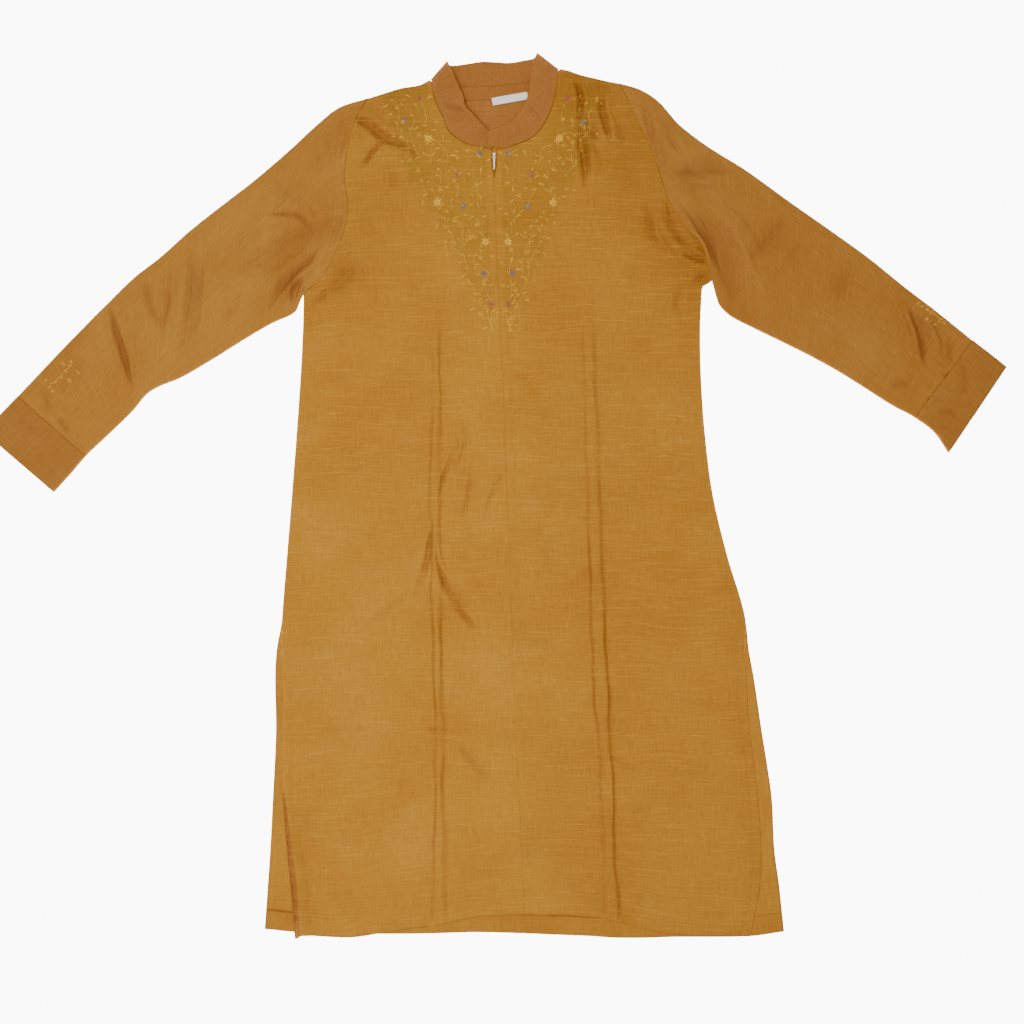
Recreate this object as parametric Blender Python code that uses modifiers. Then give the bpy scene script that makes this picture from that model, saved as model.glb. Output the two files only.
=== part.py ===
# A cotton kurta tunic, closed by a concealed zip and laid flat on its back.
# Sizes are in millimetres, and each mesh is made in metres. +X is to the viewer's right,
# +Y towards the collar, +Z up. The origin is under the middle of the back, on the surface.
# Left and right are as seen from above.

import math
from collections import namedtuple

import bmesh
import bpy
from mathutils import Vector

MM = 0.001

CLOTH = 1.2  # wall of the cotton
DOUBLE = 1.8  # collar and cuffs, two layers pressed together
TAPE = 1.0  # zip tapes, neck tape and label
SEAM_GAP = 0.3  # between two pieces at a seam
ARMHOLE_GAP = 0.65  # the same where a curved seam is cut into straight lengths
CUFF_GAP = 0.5  # the same along X, where the seam slants

BACK_MID = CLOTH / 2  # height of the middle of the back's wall
EDGE_MID = 2.2  # the front's wall along the side seams and hem
BODY_MID = 3.6  # the front's wall inside them
NECK_MID = 5.0  # the front's wall along the collar
SIDE_EASE = 26.0  # how far in from the side seam the front has risen

SKIRT_ROWS = 22
UPPER_ROWS = 12
BACK_SPANS = (4, 8, 4)  # columns of the back: left shoulder, neckline, right shoulder
HEM_FADE = 0.28  # share of the skirt over which a row stops following the hem
TOP_TAKEUP = 1.5  # how late the rows above the armpit take on the shape of the top edge

# Height, and where the edges of the back and of the front lie there.
Level = namedtuple("Level", "name y back_left front_left front_right back_right")
LEVELS = (
    Level("hem", -528, -309, -266, 297, 340),
    Level("above hem", -469, -305, -270, 309, 334),
    Level("low skirt", -422, -302, -276, 311, 328),
    Level("skirt", -360, -299, -283, 307, 325),
    Level("mid slit", -322, -297, -285, 303, 320),
    Level("upper slit", -272, -295, -285, 297, 312),
    Level("below slit top", -205, -296, -286, 292, 302),
    Level("slit top", -172, -294, -288, 291, 296),
    Level("hip", -131, -287, -287, 291, 291),
    Level("waist", -55, -281, -281, 269, 269),
    Level("rib", 20, -275, -275, 251, 251),
    Level("chest", 97, -269, -269, 241, 241),
    Level("bust", 170, -264, -264, 236, 236),
    Level("under arm", 230, -261, -261, 235, 235),
    Level("armpit", 276, -260, -260, 237, 237),
)

# The hems, from left to right. The front's rises in the middle, over the back's.
Hem = namedtuple("Hem", "x back_y front_y")
HEMS = (
    Hem(-309, -521, -527),
    Hem(-266, -525, -528),
    Hem(-202, -527, -531),
    Hem(-165, -527, -526),
    Hem(-122, -527, -520),
    Hem(-82, -526, -514),
    Hem(-45, -525, -506),
    Hem(0, -526, -502),
    Hem(50, -528, -502),
    Hem(100, -530, -505),
    Hem(128, -532, -511),
    Hem(168, -532, -520),
    Hem(200, -531, -527),
    Hem(297, -530, -530),
    Hem(340, -524, -528),
)

# The armhole seams, from the armpit to the shoulder.
Armhole = namedtuple("Armhole", "left_x left_y right_x right_y")
ARMHOLES = (
    Armhole(-260, 276, 250, 289),
    Armhole(-240, 289, 238, 334),
    Armhole(-220, 325, 215, 360),
    Armhole(-209, 355, 196, 390),
    Armhole(-205, 384, 183, 427),
    Armhole(-209, 418, 173, 455),
    Armhole(-206, 450, 159, 484),
    Armhole(-196, 488, 146, 513),
    Armhole(-181, 516, 134, 535),
)

# The shoulders, from the tip to the neck.
Shoulder = namedtuple("Shoulder", "left_x left_y right_x right_y")
SHOULDERS = (
    Shoulder(-181, 516, 134, 535),
    Shoulder(-165, 521, 119, 538),
    Shoulder(-139, 529, 85, 546),
    Shoulder(-116, 533, 71, 551),
    Shoulder(-103, 539, 60, 553),
)

# The centre front, and the line of the zip in its upper part, from the hem to the collar.
Centre = namedtuple("Centre", "y x")
CENTRES = (
    Centre(-505, 15),
    Centre(-385, 10),
    Centre(-260, 4),
    Centre(-4, -4.5),
    Centre(115, -9),
    Centre(209, -12.5),
    Centre(303, -17.5),
    Centre(390, -21),
    Centre(452, -22.5),
)
ZIP_BOTTOM = -9.0
ZIP_TOP = 449.0
PLACKET_REACH = 13.0  # half the strip that the zip raises, and how far
PLACKET_RISE = 0.9
SLIT_HALF = 4.4  # half the gap that shows the slider
SLIT_OPEN = 432.0  # the gap is this wide above here
SLIT_SHUT = 404.0  # and shut below here

# The two long creases that the folded garment was packed with, and their heights.
Crease = namedtuple("Crease", "y left_x right_x rise")
CREASES = (
    Crease(-531, -92, 132, 3.0),
    Crease(-437, -89, 124, 3.2),
    Crease(-361, -90, 120, 3.2),
    Crease(-305, -87, 117.5, 3.0),
    Crease(-235, -86, 112.5, 3.0),
    Crease(-155, -88, 109, 3.2),
    Crease(-85, -94, 107, 2.8),
    Crease(-10, -98, 104, 3.0),
    Crease(59, -96, 102, 2.8),
    Crease(150, -94, 98, 2.4),
    Crease(228, -94, 95, 1.6),
    Crease(284, -94, 91, 0.4),
)
CREASE_REACH = 9.0  # half the width of a crease
CREASE_DIP = 0.25  # the dip along each side of it, as a share of its rise
CREASE_DIP_FROM = 13.0
CREASE_COLUMNS = (-24.0, -13.0, -7.0, 0.0, 7.0, 13.0, 24.0)
CREASE_FADE = 0.66  # where its columns reach the shoulder, from the side 0 to the centre 1
EDGE_COLUMN = 8.0  # the first column inside the side seam
ZIP_COLUMNS = (15.0, 7.0)  # the last columns before the centre

HEM_SPAN = 1 / 14  # share of the skirt that the hem stiffens
HEM_RISE = 0.6  # the hem's height above the side seam's
HEM_LIFT = 1.6  # the front's hem stands up where it runs over the back
HEM_LIFT_X = 48.0
HEM_LIFT_REACH = 130.0
CURL = 4.0  # the left front's edge is turned up along its slit
CURL_REACH = 14.0
CURL_FROM = -300.0
CURL_FULL = -420.0

# The stand collar, from its right front end round the back to the left one: the seam it stands
# on and its free edge. Most of it lies in the two folds at the sides of the neck.
Stand = namedtuple("Stand", "name seam_x seam_y seam_z edge_x edge_y edge_z")
COLLAR = (
    Stand("right end", -30, 457.5, 6.0, -30, 474, 8.4),
    Stand("right front", -11, 453.5, 5.6, -14, 479.5, 9.2),
    Stand("right front turn", 3, 458, 5.4, -1, 485.5, 10),
    Stand("right throat", 25, 467.5, 5.2, 9, 496, 11),
    Stand("right side low", 39, 483, 5.2, 15.5, 506, 12),
    Stand("right side", 49, 504, 5.2, 22, 525.5, 12.5),
    Stand("right side high", 54.5, 525.5, 5.4, 23.5, 545, 12.5),
    Stand("before right fold", 56.3, 546, 5.3, 28, 563, 12),
    Stand("right fold", 58, 552, 3.1, 31, 571.5, 6.6),
    Stand("after right fold", 54, 549.5, 1.25, 27, 566.5, 1.6),
    Stand("back right", 30, 537, 0.95, 15, 564, 0.95),
    Stand("back", 0, 531, 0.9, -5, 561, 0.9),
    Stand("back middle", -35, 528.5, 0.9, -36, 562.5, 0.9),
    Stand("back left", -65, 529.5, 0.95, -60, 559, 0.95),
    Stand("before left fold", -97, 537, 1.25, -76.5, 557.5, 1.6),
    Stand("left fold", -101, 539, 3.1, -80.5, 561.5, 6.6),
    Stand("after left fold", -99.2, 534.5, 5.2, -76, 551.5, 12),
    Stand("left side high", -97.5, 521.5, 5.4, -67, 531, 12.5),
    Stand("left side", -91.5, 504, 5.2, -60.5, 516.5, 12.5),
    Stand("left side low", -86, 494, 5.2, -57.5, 504, 12),
    Stand("left throat", -78.5, 476, 5.0, -48.5, 495, 10.5),
    Stand("left front turn", -59, 461, 4.6, -38.5, 484, 9),
    Stand("left front", -40, 456, 4.0, -31, 477, 6.2),
    Stand("left end", -24, 454, 3.4, -24, 469, 5.2),
)
COLLAR_STEPS = 2  # mesh columns between two rows of the table
COLLAR_ACROSS = 4
RIGHT_FOLD = 8  # rows of the table where the collar turns under
LEFT_FOLD = 15
NECK_GAP = 0.95  # from the collar's seam to the edges of the panels, which it slopes over

# Each sleeve from its armhole to its cuff: its two edges, how far the top layer rises or sinks
# between them, and how far the ring has come from the armhole's curve, 0, to a straight line, 1.
Ring = namedtuple("Ring", "name upper_x upper_y lower_x lower_y puff straight")
LEFT_SLEEVE = (
    Ring("armhole", -181, 516, -260, 276, 0.4, 0),
    Ring("cap", -215, 505, -265, 263, 1.2, 0.38),
    Ring("head", -240, 486, -272, 249, 1.8, 0.65),
    Ring("upper arm", -278, 451, -301, 235, 1.2, 1),
    Ring("upper fold", -320, 415, -335, 215, 1.8, 1),
    Ring("arm", -364, 381, -375, 190, 1.0, 1),
    Ring("elbow", -403, 350, -413, 168, 1.9, 1),
    Ring("below elbow", -440, 317, -440, 157, 1.0, 1),
    Ring("forearm", -471, 293, -456, 147, 1.8, 1),
    Ring("crease lip", -492, 274, -464, 138, 2.0, 1),
    Ring("deep crease", -498, 268, -468, 132, -1.2, 1),
    Ring("crease far lip", -504, 261, -473, 127, 1.9, 1),
    Ring("lower forearm", -530, 235, -491, 109, 1.4, 1),
    Ring("wrist", -565, 199, -510, 91, 1.0, 1),
    Ring("cuff seam", -617, 144, -532, 70, 0.6, 1),
    Ring("cuff middle", -638, 122, -552, 47, 0.4, 1),
    Ring("cuff end", -659, 100, -572, 25, 0.6, 1),
)
RIGHT_SLEEVE = (
    Ring("armhole", 134, 535, 250, 289, 0.6, 0),
    Ring("cap", 160, 527, 252.5, 279, 1.4, 0.3),
    Ring("head", 183, 512, 255.5, 268, 1.8, 0.5),
    Ring("upper arm", 208, 484, 260, 257, 1.4, 0.75),
    Ring("upper fold", 243, 457, 274, 244, 1.2, 1),
    Ring("arm", 291, 427, 301, 230, 1.8, 1),
    Ring("elbow", 348, 386, 338, 212, 0.8, 1),
    Ring("below elbow", 398, 351, 374, 194, 1.7, 1),
    Ring("forearm", 445, 317, 410, 174, 1.4, 1),
    Ring("lower forearm", 491, 280, 445, 152, 0.6, 1),
    Ring("wrist", 529, 251, 475, 133, 1.6, 1),
    Ring("cuff seam", 575, 214, 503, 118, 0.8, 1),
    Ring("cuff middle", 597, 197, 527, 100, 0.4, 1),
    Ring("cuff end", 617, 181, 545, 74, 0.8, 1),
)
CUFF_ROWS = 3  # the last rows of each table are the cuff
SLEEVE_STEPS = 2  # rings from one row of a table to the next
CLOSE_RINGS = ("armhole", "crease lip", "deep crease", "crease far lip")
SLEEVE_TOP = UPPER_ROWS  # columns across the top layer, which meet the rows of the front
SLEEVE_UNDER = SLEEVE_TOP // 2
SLEEVE_TURN = 3  # columns round each folded edge
SLEEVE_FOLD = 1.5  # radius of a folded edge, at the middle of the wall
CUFF_FOLD = 1.7
SLEEVE_SPREAD = 0.16  # how far a straight ring's columns are moved up, to make room at the armpit
SLEEVE_SWELL = 0.7  # how full the top layer's rise is, from a sharp peak at 1 to a step at 0
LEAST_SPACE = 2.2  # between the middles of a sleeve's two layers

# Wide soft folds and troughs: a line on the cloth, half its width, and its rise.
Fold = namedtuple("Fold", "name piece x0 y0 x1 y1 reach rise")
FOLDS = (
    Fold("shoulder drag", "front_left", -202, 497, -128, 458, 15, -1.3),
    Fold("shoulder drag lip", "front_left", -190, 512, -118, 474, 14, 1.2),
    Fold("armhole fold", "front_left", -206, 345, -236, 288, 20, 1.4),
    Fold("armhole trough", "front_left", -236, 270, -190, 312, 17, -1.2),
    Fold("armhole fold", "front_right", 176, 400, 213, 300, 22, 1.2),
    Fold("armhole tuck", "front_right", 205, 330, 240, 316, 16, -1.1),
    Fold("long trough", "sleeve_left", -209, 368, -360, 303, 26, -1.5),
    Fold("armpit fold", "sleeve_left", -240, 336, -312, 244, 18, 1.3),
    Fold("elbow trough", "sleeve_left", -398, 330, -415, 190, 18, -1.3),
    Fold("seam overlap", "sleeve_right", 205, 388, 252, 300, 17, 1.8),
    Fold("armhole trough", "sleeve_right", 224, 380, 284, 262, 20, -1.7),
    Fold("cap trough", "sleeve_right", 194, 414, 282, 420, 18, -1.4),
    Fold("elbow trough", "sleeve_right", 352, 372, 298, 312, 20, -1.2),
    Fold("wrist trough", "sleeve_right", 491, 262, 517, 178, 17, -1.6),
)

# Neck tape: its upper and its lower edge, from left to right, as straight lines.
TAPE_LEFT = ((-80, 531), (-74, 514))
TAPE_RIGHT = ((36, 539), (32, 523))
TAPE_MID = 2.7
LABEL_CENTRE = (-2.5, 515.5)
LABEL_SIZE = (45.0, 9.5)
LABEL_TILT = math.radians(10)
LABEL_MID = 4.1

ZIP_TAPE_WIDTH = 12.0
ZIP_TAPE_MID = 2.1

# The slider, and its pull lying down along the zip. The pull turns on a pin between two lugs.
SLIDER_X = -22.3
PIN_Y = 446.0
PIN_Z = 7.0
PIN_RADIUS = 0.55
SLIDER_SIZE = (5.4, 9.0, 2.2)
SLIDER_MID = 4.0
LUG_SIZE = (0.8, 2.4, 3.1)
LUG_OUT = 2.1
PULL_LENGTH = 20.0
PULL_WIDTH = 2.6
PULL_THICK = 1.0
EYE_RADIUS = 1.7
EYE_HOLE = 0.95


def ease(share):
    """0 below 0, 1 above 1 and a smooth step between."""
    share = min(max(share, 0.0), 1.0)
    return share * share * (3 - 2 * share)


def bump(distance, reach):
    """1 at no distance, 0 at reach, smooth between."""
    share = min(abs(distance) / reach, 1.0)
    return (1 - share * share) ** 2


def mix(a, b, share):
    return a + (b - a) * share


def hermite(before, start, end, after, keys, share):
    """A smooth value between start and end, from the values and keys on both sides."""
    span = keys[2] - keys[1]
    slope_in = (end - before) / (keys[2] - keys[0]) * span
    slope_out = (after - start) / (keys[3] - keys[1]) * span
    square = share * share
    cube = square * share
    return (
        start * (2 * cube - 3 * square + 1)
        + slope_in * (cube - 2 * square + share)
        + end * (3 * square - 2 * cube)
        + slope_out * (cube - square)
    )


def read(table, key, column, value):
    """The table's column where its key column, which rises, has this value."""
    keys = [getattr(row, key) for row in table]
    values = [getattr(row, column) for row in table]
    value = min(max(value, keys[0]), keys[-1])
    i = next(k for k in range(len(keys) - 1) if value <= keys[k + 1])
    low = max(i - 1, 0)
    high = min(i + 2, len(keys) - 1)
    around = (keys[low], keys[i], keys[i + 1], keys[high])
    share = (value - keys[i]) / (keys[i + 1] - keys[i])
    return hermite(values[low], values[i], values[i + 1], values[high], around, share)


def trace(points, share):
    """The point at this share of the length of a smooth curve through the points."""
    lengths = [0.0]
    for a, b in zip(points, points[1:]):
        lengths.append(lengths[-1] + (b - a).length)
    wanted = min(max(share, 0.0), 1.0) * lengths[-1]
    i = next(k for k in range(len(points) - 1) if wanted <= lengths[k + 1] + 1e-9)
    low = max(i - 1, 0)
    high = min(i + 2, len(points) - 1)
    around = (lengths[low], lengths[i], lengths[i + 1], lengths[high])
    part = (wanted - lengths[i]) / (lengths[i + 1] - lengths[i])
    return hermite(points[low], points[i], points[i + 1], points[high], around, part)


def columns_of(table, x, y):
    return [Vector((getattr(row, x), getattr(row, y))) for row in table]


def side_name(side):
    return "left" if side < 0 else "right"


def armhole_points(side):
    name = side_name(side)
    return columns_of(ARMHOLES, name + "_x", name + "_y")


def shoulder_points(side):
    name = side_name(side)
    return columns_of(SHOULDERS, name + "_x", name + "_y")


def outer_edge(side, layer, height):
    """A point on the panel's outer edge. Height is 0 at the hem, 1 at the armpit, 2 at the shoulder."""
    arm = armhole_points(side)
    if height > 1:
        return trace(arm, height - 1)
    y = mix(LEVELS[0].y, arm[0].y, height)
    # The skirt's levels stop at the side seam's top, and the last stretch turns out to the armpit.
    column = f"{layer}_{side_name(side)}"
    x = read(LEVELS, "y", column, y)
    turn = ease((y - arm[0].y + 9) / 9)
    return Vector((mix(x, arm[0].x, turn), y))


def centre_gap(y):
    """Half the gap between the two fronts."""
    opened = ease((y - SLIT_SHUT) / (SLIT_OPEN - SLIT_SHUT))
    return mix(SEAM_GAP / 2, SLIT_HALF, opened)


def centre_edge(side, height):
    armpit = armhole_points(side)[0].y
    y = mix(LEVELS[0].y, armpit, min(height, 1.0))
    if height > 1:
        y = mix(armpit, CENTRES[-1].y, height - 1)
    return Vector((read(CENTRES, "y", "x", y) + side * centre_gap(y), y))


def collar_seam(first, last):
    """The collar's seam points in plan, from one row of its table to another."""
    step = 1 if last > first else -1
    return [Vector((COLLAR[i].seam_x, COLLAR[i].seam_y)) for i in range(first, last + step, step)]


def pushed_out(points, gap):
    """The curve moved sideways by the gap, to its left."""
    moved = []
    for i, point in enumerate(points):
        along = points[min(i + 1, len(points) - 1)] - points[max(i - 1, 0)]
        sideways = Vector((-along.y, along.x)).normalized()
        moved.append(point + sideways * gap)
    return moved


def front_top(side):
    """Shoulder and neckline of a front half, from the shoulder's tip to the centre."""
    if side < 0:
        seam = pushed_out(collar_seam(LEFT_FOLD + 1, len(COLLAR) - 2), -NECK_GAP)
    else:
        seam = pushed_out(collar_seam(RIGHT_FOLD - 1, 1), NECK_GAP)
    seam = [point for point in seam if (point.x - centre_edge(side, 2).x) * side > 4]
    shoulder = shoulder_points(side)
    return shoulder, [shoulder[-1], *seam, centre_edge(side, 2)]


def back_top():
    """Both shoulders and the back neckline between them, from left to right."""
    seam = pushed_out(collar_seam(LEFT_FOLD - 1, RIGHT_FOLD + 1), -NECK_GAP)
    left = shoulder_points(-1)
    right = shoulder_points(1)[::-1]
    return left, [left[-1], *seam, right[0]], right


def hem_shift(layer, x):
    return read(HEMS, "x", layer + "_y", x) - LEVELS[0].y


def corners_of(curves):
    """Shares of the whole length at which the curves of an edge meet, with 0 and 1 at its ends."""
    corners = [0.0]
    for curve in curves:
        corners.append(corners[-1] + sum((b - a).length for a, b in zip(curve, curve[1:])))
    return [corner / corners[-1] for corner in corners]


def edge_point(curves, corners, share):
    """A point on an edge of smooth curves that meet in corners."""
    i = next(k for k in range(len(curves)) if share <= corners[k + 1] + 1e-9)
    return trace(curves[i], (share - corners[i]) / (corners[i + 1] - corners[i]))


def row_heights():
    """Heights of the rows of a panel, closer together above the armpit."""
    skirt = [i / SKIRT_ROWS for i in range(SKIRT_ROWS)]
    upper = [1 + i / UPPER_ROWS for i in range(UPPER_ROWS + 1)]
    return skirt + upper


def fold_height(piece, x, y):
    """What the soft folds of a piece add at a point."""
    total = 0.0
    here = Vector((x, y))
    for fold in FOLDS:
        if fold.piece != piece:
            continue
        start = Vector((fold.x0, fold.y0))
        along = Vector((fold.x1, fold.y1)) - start
        share = (here - start).dot(along) / along.length_squared
        held = min(max(share, 0.0), 1.0)
        away = (here - start - along * held).length
        total += fold.rise * bump(away, fold.reach) * ease(4 * min(held + 0.15, 1.15 - held))
    return total


def front_columns(side, height, width, outer):
    """Shares across a front half, 0 at the side and 1 at the centre, close along the crease."""
    y = min(max(outer.y, CREASES[0].y), CREASES[-1].y)
    crease_x = read(CREASES, "y", side_name(side) + "_x", y)
    crease = (crease_x - outer.x) * -side / width
    if height > 1:
        armpit = outer_edge(side, "front", 1).x
        share = (read(CREASES, "y", side_name(side) + "_x", CREASES[-1].y) - armpit)
        share /= centre_edge(side, 1).x - armpit
        crease = mix(share, CREASE_FADE, ease((height - 1) * 2))
    cluster = [crease + offset / width for offset in CREASE_COLUMNS]
    edge = [0.0, EDGE_COLUMN / width, SIDE_EASE / width]
    centre = [1 - ZIP_COLUMNS[0] / width, 1 - ZIP_COLUMNS[1] / width, 1.0]
    middle = [mix(edge[-1], cluster[0], i / 4) for i in range(1, 4)]
    inner = [mix(cluster[-1], centre[0], i / 3) for i in range(1, 3)]
    return edge + middle + cluster + inner + centre, crease


def front_height(side, share, height, corner, width, crease, point):
    """Height of the middle of a front half's wall."""
    from_side = share * width
    armhole = ease((height - 1.04) / 0.16)
    low = mix(EDGE_MID, BODY_MID, armhole)
    z = mix(low, BODY_MID, ease(from_side / SIDE_EASE))
    from_crease = (share - crease) * width
    if point.y < CREASES[-1].y:
        rise = read(CREASES, "y", "rise", point.y)
        z += rise * bump(from_crease, CREASE_REACH)
        z -= CREASE_DIP * rise * bump(abs(from_crease) - CREASE_DIP_FROM, CREASE_REACH)
    from_centre = (1 - share) * width
    z += PLACKET_RISE * bump(from_centre, PLACKET_REACH) * ease(height / HEM_SPAN)
    z += fold_height("front_" + side_name(side), point.x, point.y)
    hem = ease(1 - height / HEM_SPAN)
    lift = HEM_LIFT * bump(point.x - HEM_LIFT_X, HEM_LIFT_REACH)
    z = mix(z, max(EDGE_MID + HEM_RISE, z - HEM_RISE) + lift, hem)
    if side < 0:
        curl = ease((CURL_FROM - point.y) / (CURL_FROM - CURL_FULL))
        z += CURL * curl * bump(from_side, CURL_REACH)
    # The last rows come down to the shoulder seam, and stay up along the neck.
    shoulder = ease((corner - share) / 0.06 + 0.5)
    top = mix(NECK_MID, EDGE_MID, shoulder)
    return mix(z, top, ease((height - 1.86) / 0.14))


def front_rows(side):
    curves = front_top(side)
    corners = corners_of(curves)
    rows = []
    for height in row_heights():
        outer = outer_edge(side, "front", height)
        centre = centre_edge(side, height)
        width = (centre - outer).length
        shares, crease = front_columns(side, height, width, outer)
        row = []
        for share in shares:
            flat = mix(outer, centre, share)
            chord = mix(curves[0][0], curves[-1][-1], share)
            point = flat + (edge_point(curves, corners, share) - chord) * ease(height - 1) ** TOP_TAKEUP
            fade = ease(1 - height / HEM_FADE)
            point.y += hem_shift("front", point.x) * fade
            z = front_height(side, share, height, corners[1], width, crease, point)
            row.append(Vector((point.x, point.y, max(z, EDGE_MID))))
        rows.append(row)
    return rows


def back_rows():
    curves = back_top()
    corners = corners_of(curves)
    shares = [0.0]
    for start, end, columns in zip(corners, corners[1:], BACK_SPANS):
        shares += [mix(start, end, (i + 1) / columns) for i in range(columns)]
    rows = []
    for height in row_heights()[::2]:
        left = outer_edge(-1, "back", height)
        right = outer_edge(1, "back", height)
        row = []
        for share in shares:
            flat = mix(left, right, share)
            chord = mix(curves[0][0], curves[-1][-1], share)
            point = flat + (edge_point(curves, corners, share) - chord) * ease(height - 1) ** TOP_TAKEUP
            point.y += hem_shift("back", point.x) * ease(1 - height / HEM_FADE)
            row.append(Vector((point.x, point.y, BACK_MID)))
        rows.append(row)
    return rows


def ring_point(ring, curve, straight, share):
    """A point of a ring in plan, at a share of its way from the upper edge to the lower one."""
    upper = Vector((ring.upper_x, ring.upper_y))
    lower = Vector((ring.lower_x, ring.lower_y))
    spread = share - SLEEVE_SPREAD * math.sin(math.pi * share ** 3)
    if ring.straight >= 1:
        return mix(upper, lower, spread)
    first = Vector((straight.upper_x, straight.upper_y))
    last = Vector((straight.lower_x, straight.lower_y))
    point = mix(trace(curve, share), mix(first, last, spread), ring.straight)
    # The two edges are pulled to their own places, and the cloth near them follows.
    point += (upper - mix(curve[0], first, ring.straight)) * (1 - share) ** 3
    point += (lower - mix(curve[-1], last, ring.straight)) * share ** 6
    return point


def sleeve_section(ring, curve, straight, fold, wall, piece):
    """One closed section of a flattened tube: over the top, round the lower edge and back under."""
    across = math.hypot(ring.lower_x - ring.upper_x, ring.lower_y - ring.upper_y)
    inset = fold / across
    mid = wall / 2

    def place_at(share, z):
        point = ring_point(ring, curve, straight, share)
        return Vector((point.x, point.y, z))

    section = []
    for i in range(SLEEVE_TOP + 1):
        share = mix(inset, 1 - inset, i / SLEEVE_TOP)
        swell = max(math.sin(math.pi * i / SLEEVE_TOP), 0.0) ** SLEEVE_SWELL
        point = place_at(share, 0)
        rise = ring.puff * swell + fold_height(piece, point.x, point.y) * min(3 * swell, 1)
        section.append(Vector((point.x, point.y, mid + max(2 * fold + rise, LEAST_SPACE))))
    for i in range(1, SLEEVE_TURN):
        angle = math.pi * i / SLEEVE_TURN
        share = 1 - inset * (1 - math.sin(angle))
        section.append(place_at(share, mid + fold + fold * math.cos(angle)))
    for i in range(SLEEVE_UNDER + 1):
        section.append(place_at(mix(1 - inset, inset, i / SLEEVE_UNDER), mid))
    for i in range(1, SLEEVE_TURN):
        angle = math.pi * i / SLEEVE_TURN
        share = inset * (1 - math.sin(angle))
        section.append(place_at(share, mid + fold - fold * math.cos(angle)))
    return section


def between(a, b, share):
    """A ring of a sleeve between two rows of its table."""
    numbers = [mix(x, y, share) for x, y in zip(a[1:], b[1:])]
    return Ring(a.name, *numbers)


def moved_in(ring, side, gap):
    """The ring moved along the arm, away from the body."""
    shift = side * gap
    return ring._replace(upper_x=ring.upper_x + shift, lower_x=ring.lower_x + shift)


def sleeve_seam(side):
    """The sleeve's edge along the armhole, from the shoulder down."""
    seam = pushed_out(armhole_points(side), -side * ARMHOLE_GAP)
    # At the armpit the sleeve's folded edge runs down beside the body, by half its wall more.
    seam[0].x += side * CLOTH / 2
    return seam[::-1]


def sleeve_rings(table, first, last):
    """The rings from one row of the table to another, with rings added where they are far apart."""
    rings = []
    for i in range(first, last):
        steps = 1 if table[i].name in CLOSE_RINGS else SLEEVE_STEPS
        for k in range(steps):
            rings.append(between(table[i], table[i + 1], k / steps))
    rings.append(table[last])
    return rings


def sleeve_rows(side):
    table = LEFT_SLEEVE if side < 0 else RIGHT_SLEEVE
    curve = sleeve_seam(side)
    straight = moved_in(next(ring for ring in table if ring.straight >= 1), side, ARMHOLE_GAP)
    rows = []
    for i, ring in enumerate(sleeve_rings(table, 0, len(table) - CUFF_ROWS)):
        ring = moved_in(ring, side, ARMHOLE_GAP)
        if i == 0:
            ring = ring._replace(
                upper_x=curve[0].x, upper_y=curve[0].y, lower_x=curve[-1].x, lower_y=curve[-1].y
            )
        name = "sleeve_" + side_name(side)
        rows.append(sleeve_section(ring, curve, straight, SLEEVE_FOLD, CLOTH, name))
    return rows


def cuff_rows(side):
    table = LEFT_SLEEVE if side < 0 else RIGHT_SLEEVE
    rows = []
    for i, ring in enumerate(sleeve_rings(table, len(table) - CUFF_ROWS, len(table) - 1)):
        ring = moved_in(ring, side, ARMHOLE_GAP + (CUFF_GAP if i == 0 else 0))
        rows.append(sleeve_section(ring, None, None, CUFF_FOLD, DOUBLE, "cuff"))
    return rows


def collar_rows():
    """Columns of the collar band, each from its seam to its free edge, slightly bowed."""
    seam = [Vector((s.seam_x, s.seam_y, s.seam_z)) for s in COLLAR]
    edge = [Vector((s.edge_x, s.edge_y, s.edge_z)) for s in COLLAR]
    rows = []
    last = len(COLLAR) - 1
    for i in range(last):
        for k in range(COLLAR_STEPS):
            rows.append(collar_column(seam, edge, i, k / COLLAR_STEPS))
    rows.append(collar_column(seam, edge, last - 1, 1.0))
    return rows


def collar_column(seam, edge, i, share):
    keys = (-1.0, 0.0, 1.0, 2.0)
    low = max(i - 1, 0)
    high = min(i + 2, len(seam) - 1)
    bottom = hermite(seam[low], seam[i], seam[i + 1], seam[high], keys, share)
    top = hermite(edge[low], edge[i], edge[i + 1], edge[high], keys, share)
    column = []
    for k in range(COLLAR_ACROSS + 1):
        part = k / COLLAR_ACROSS
        point = mix(bottom, top, part)
        point.z += 0.05 * (top.z - bottom.z) * math.sin(math.pi * part)
        column.append(point)
    return column


def strip_rows(left, right, mid, steps):
    rows = []
    for i in range(steps + 1):
        share = i / steps
        upper = mix(Vector(left[0]), Vector(right[0]), share)
        lower = mix(Vector(left[1]), Vector(right[1]), share)
        rows.append([Vector((*mix(lower, upper, k / 2), mid)) for k in range(3)])
    return rows


def tape_rows():
    """The neck tape, sagging a little towards the middle of the neck."""
    rows = strip_rows(TAPE_LEFT, TAPE_RIGHT, TAPE_MID, 12)
    for i, row in enumerate(rows):
        for point in row:
            point.y -= 3.0 * math.sin(math.pi * i / 12)
    return rows


def label_rows():
    long, wide = LABEL_SIZE
    along = Vector((math.cos(LABEL_TILT), math.sin(LABEL_TILT)))
    across = Vector((-along.y, along.x))
    centre = Vector(LABEL_CENTRE)
    left = [centre - along * long / 2 + across * wide / 2 * k for k in (1, -1)]
    right = [centre + along * long / 2 + across * wide / 2 * k for k in (1, -1)]
    return strip_rows(left, right, LABEL_MID, 4)


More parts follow.
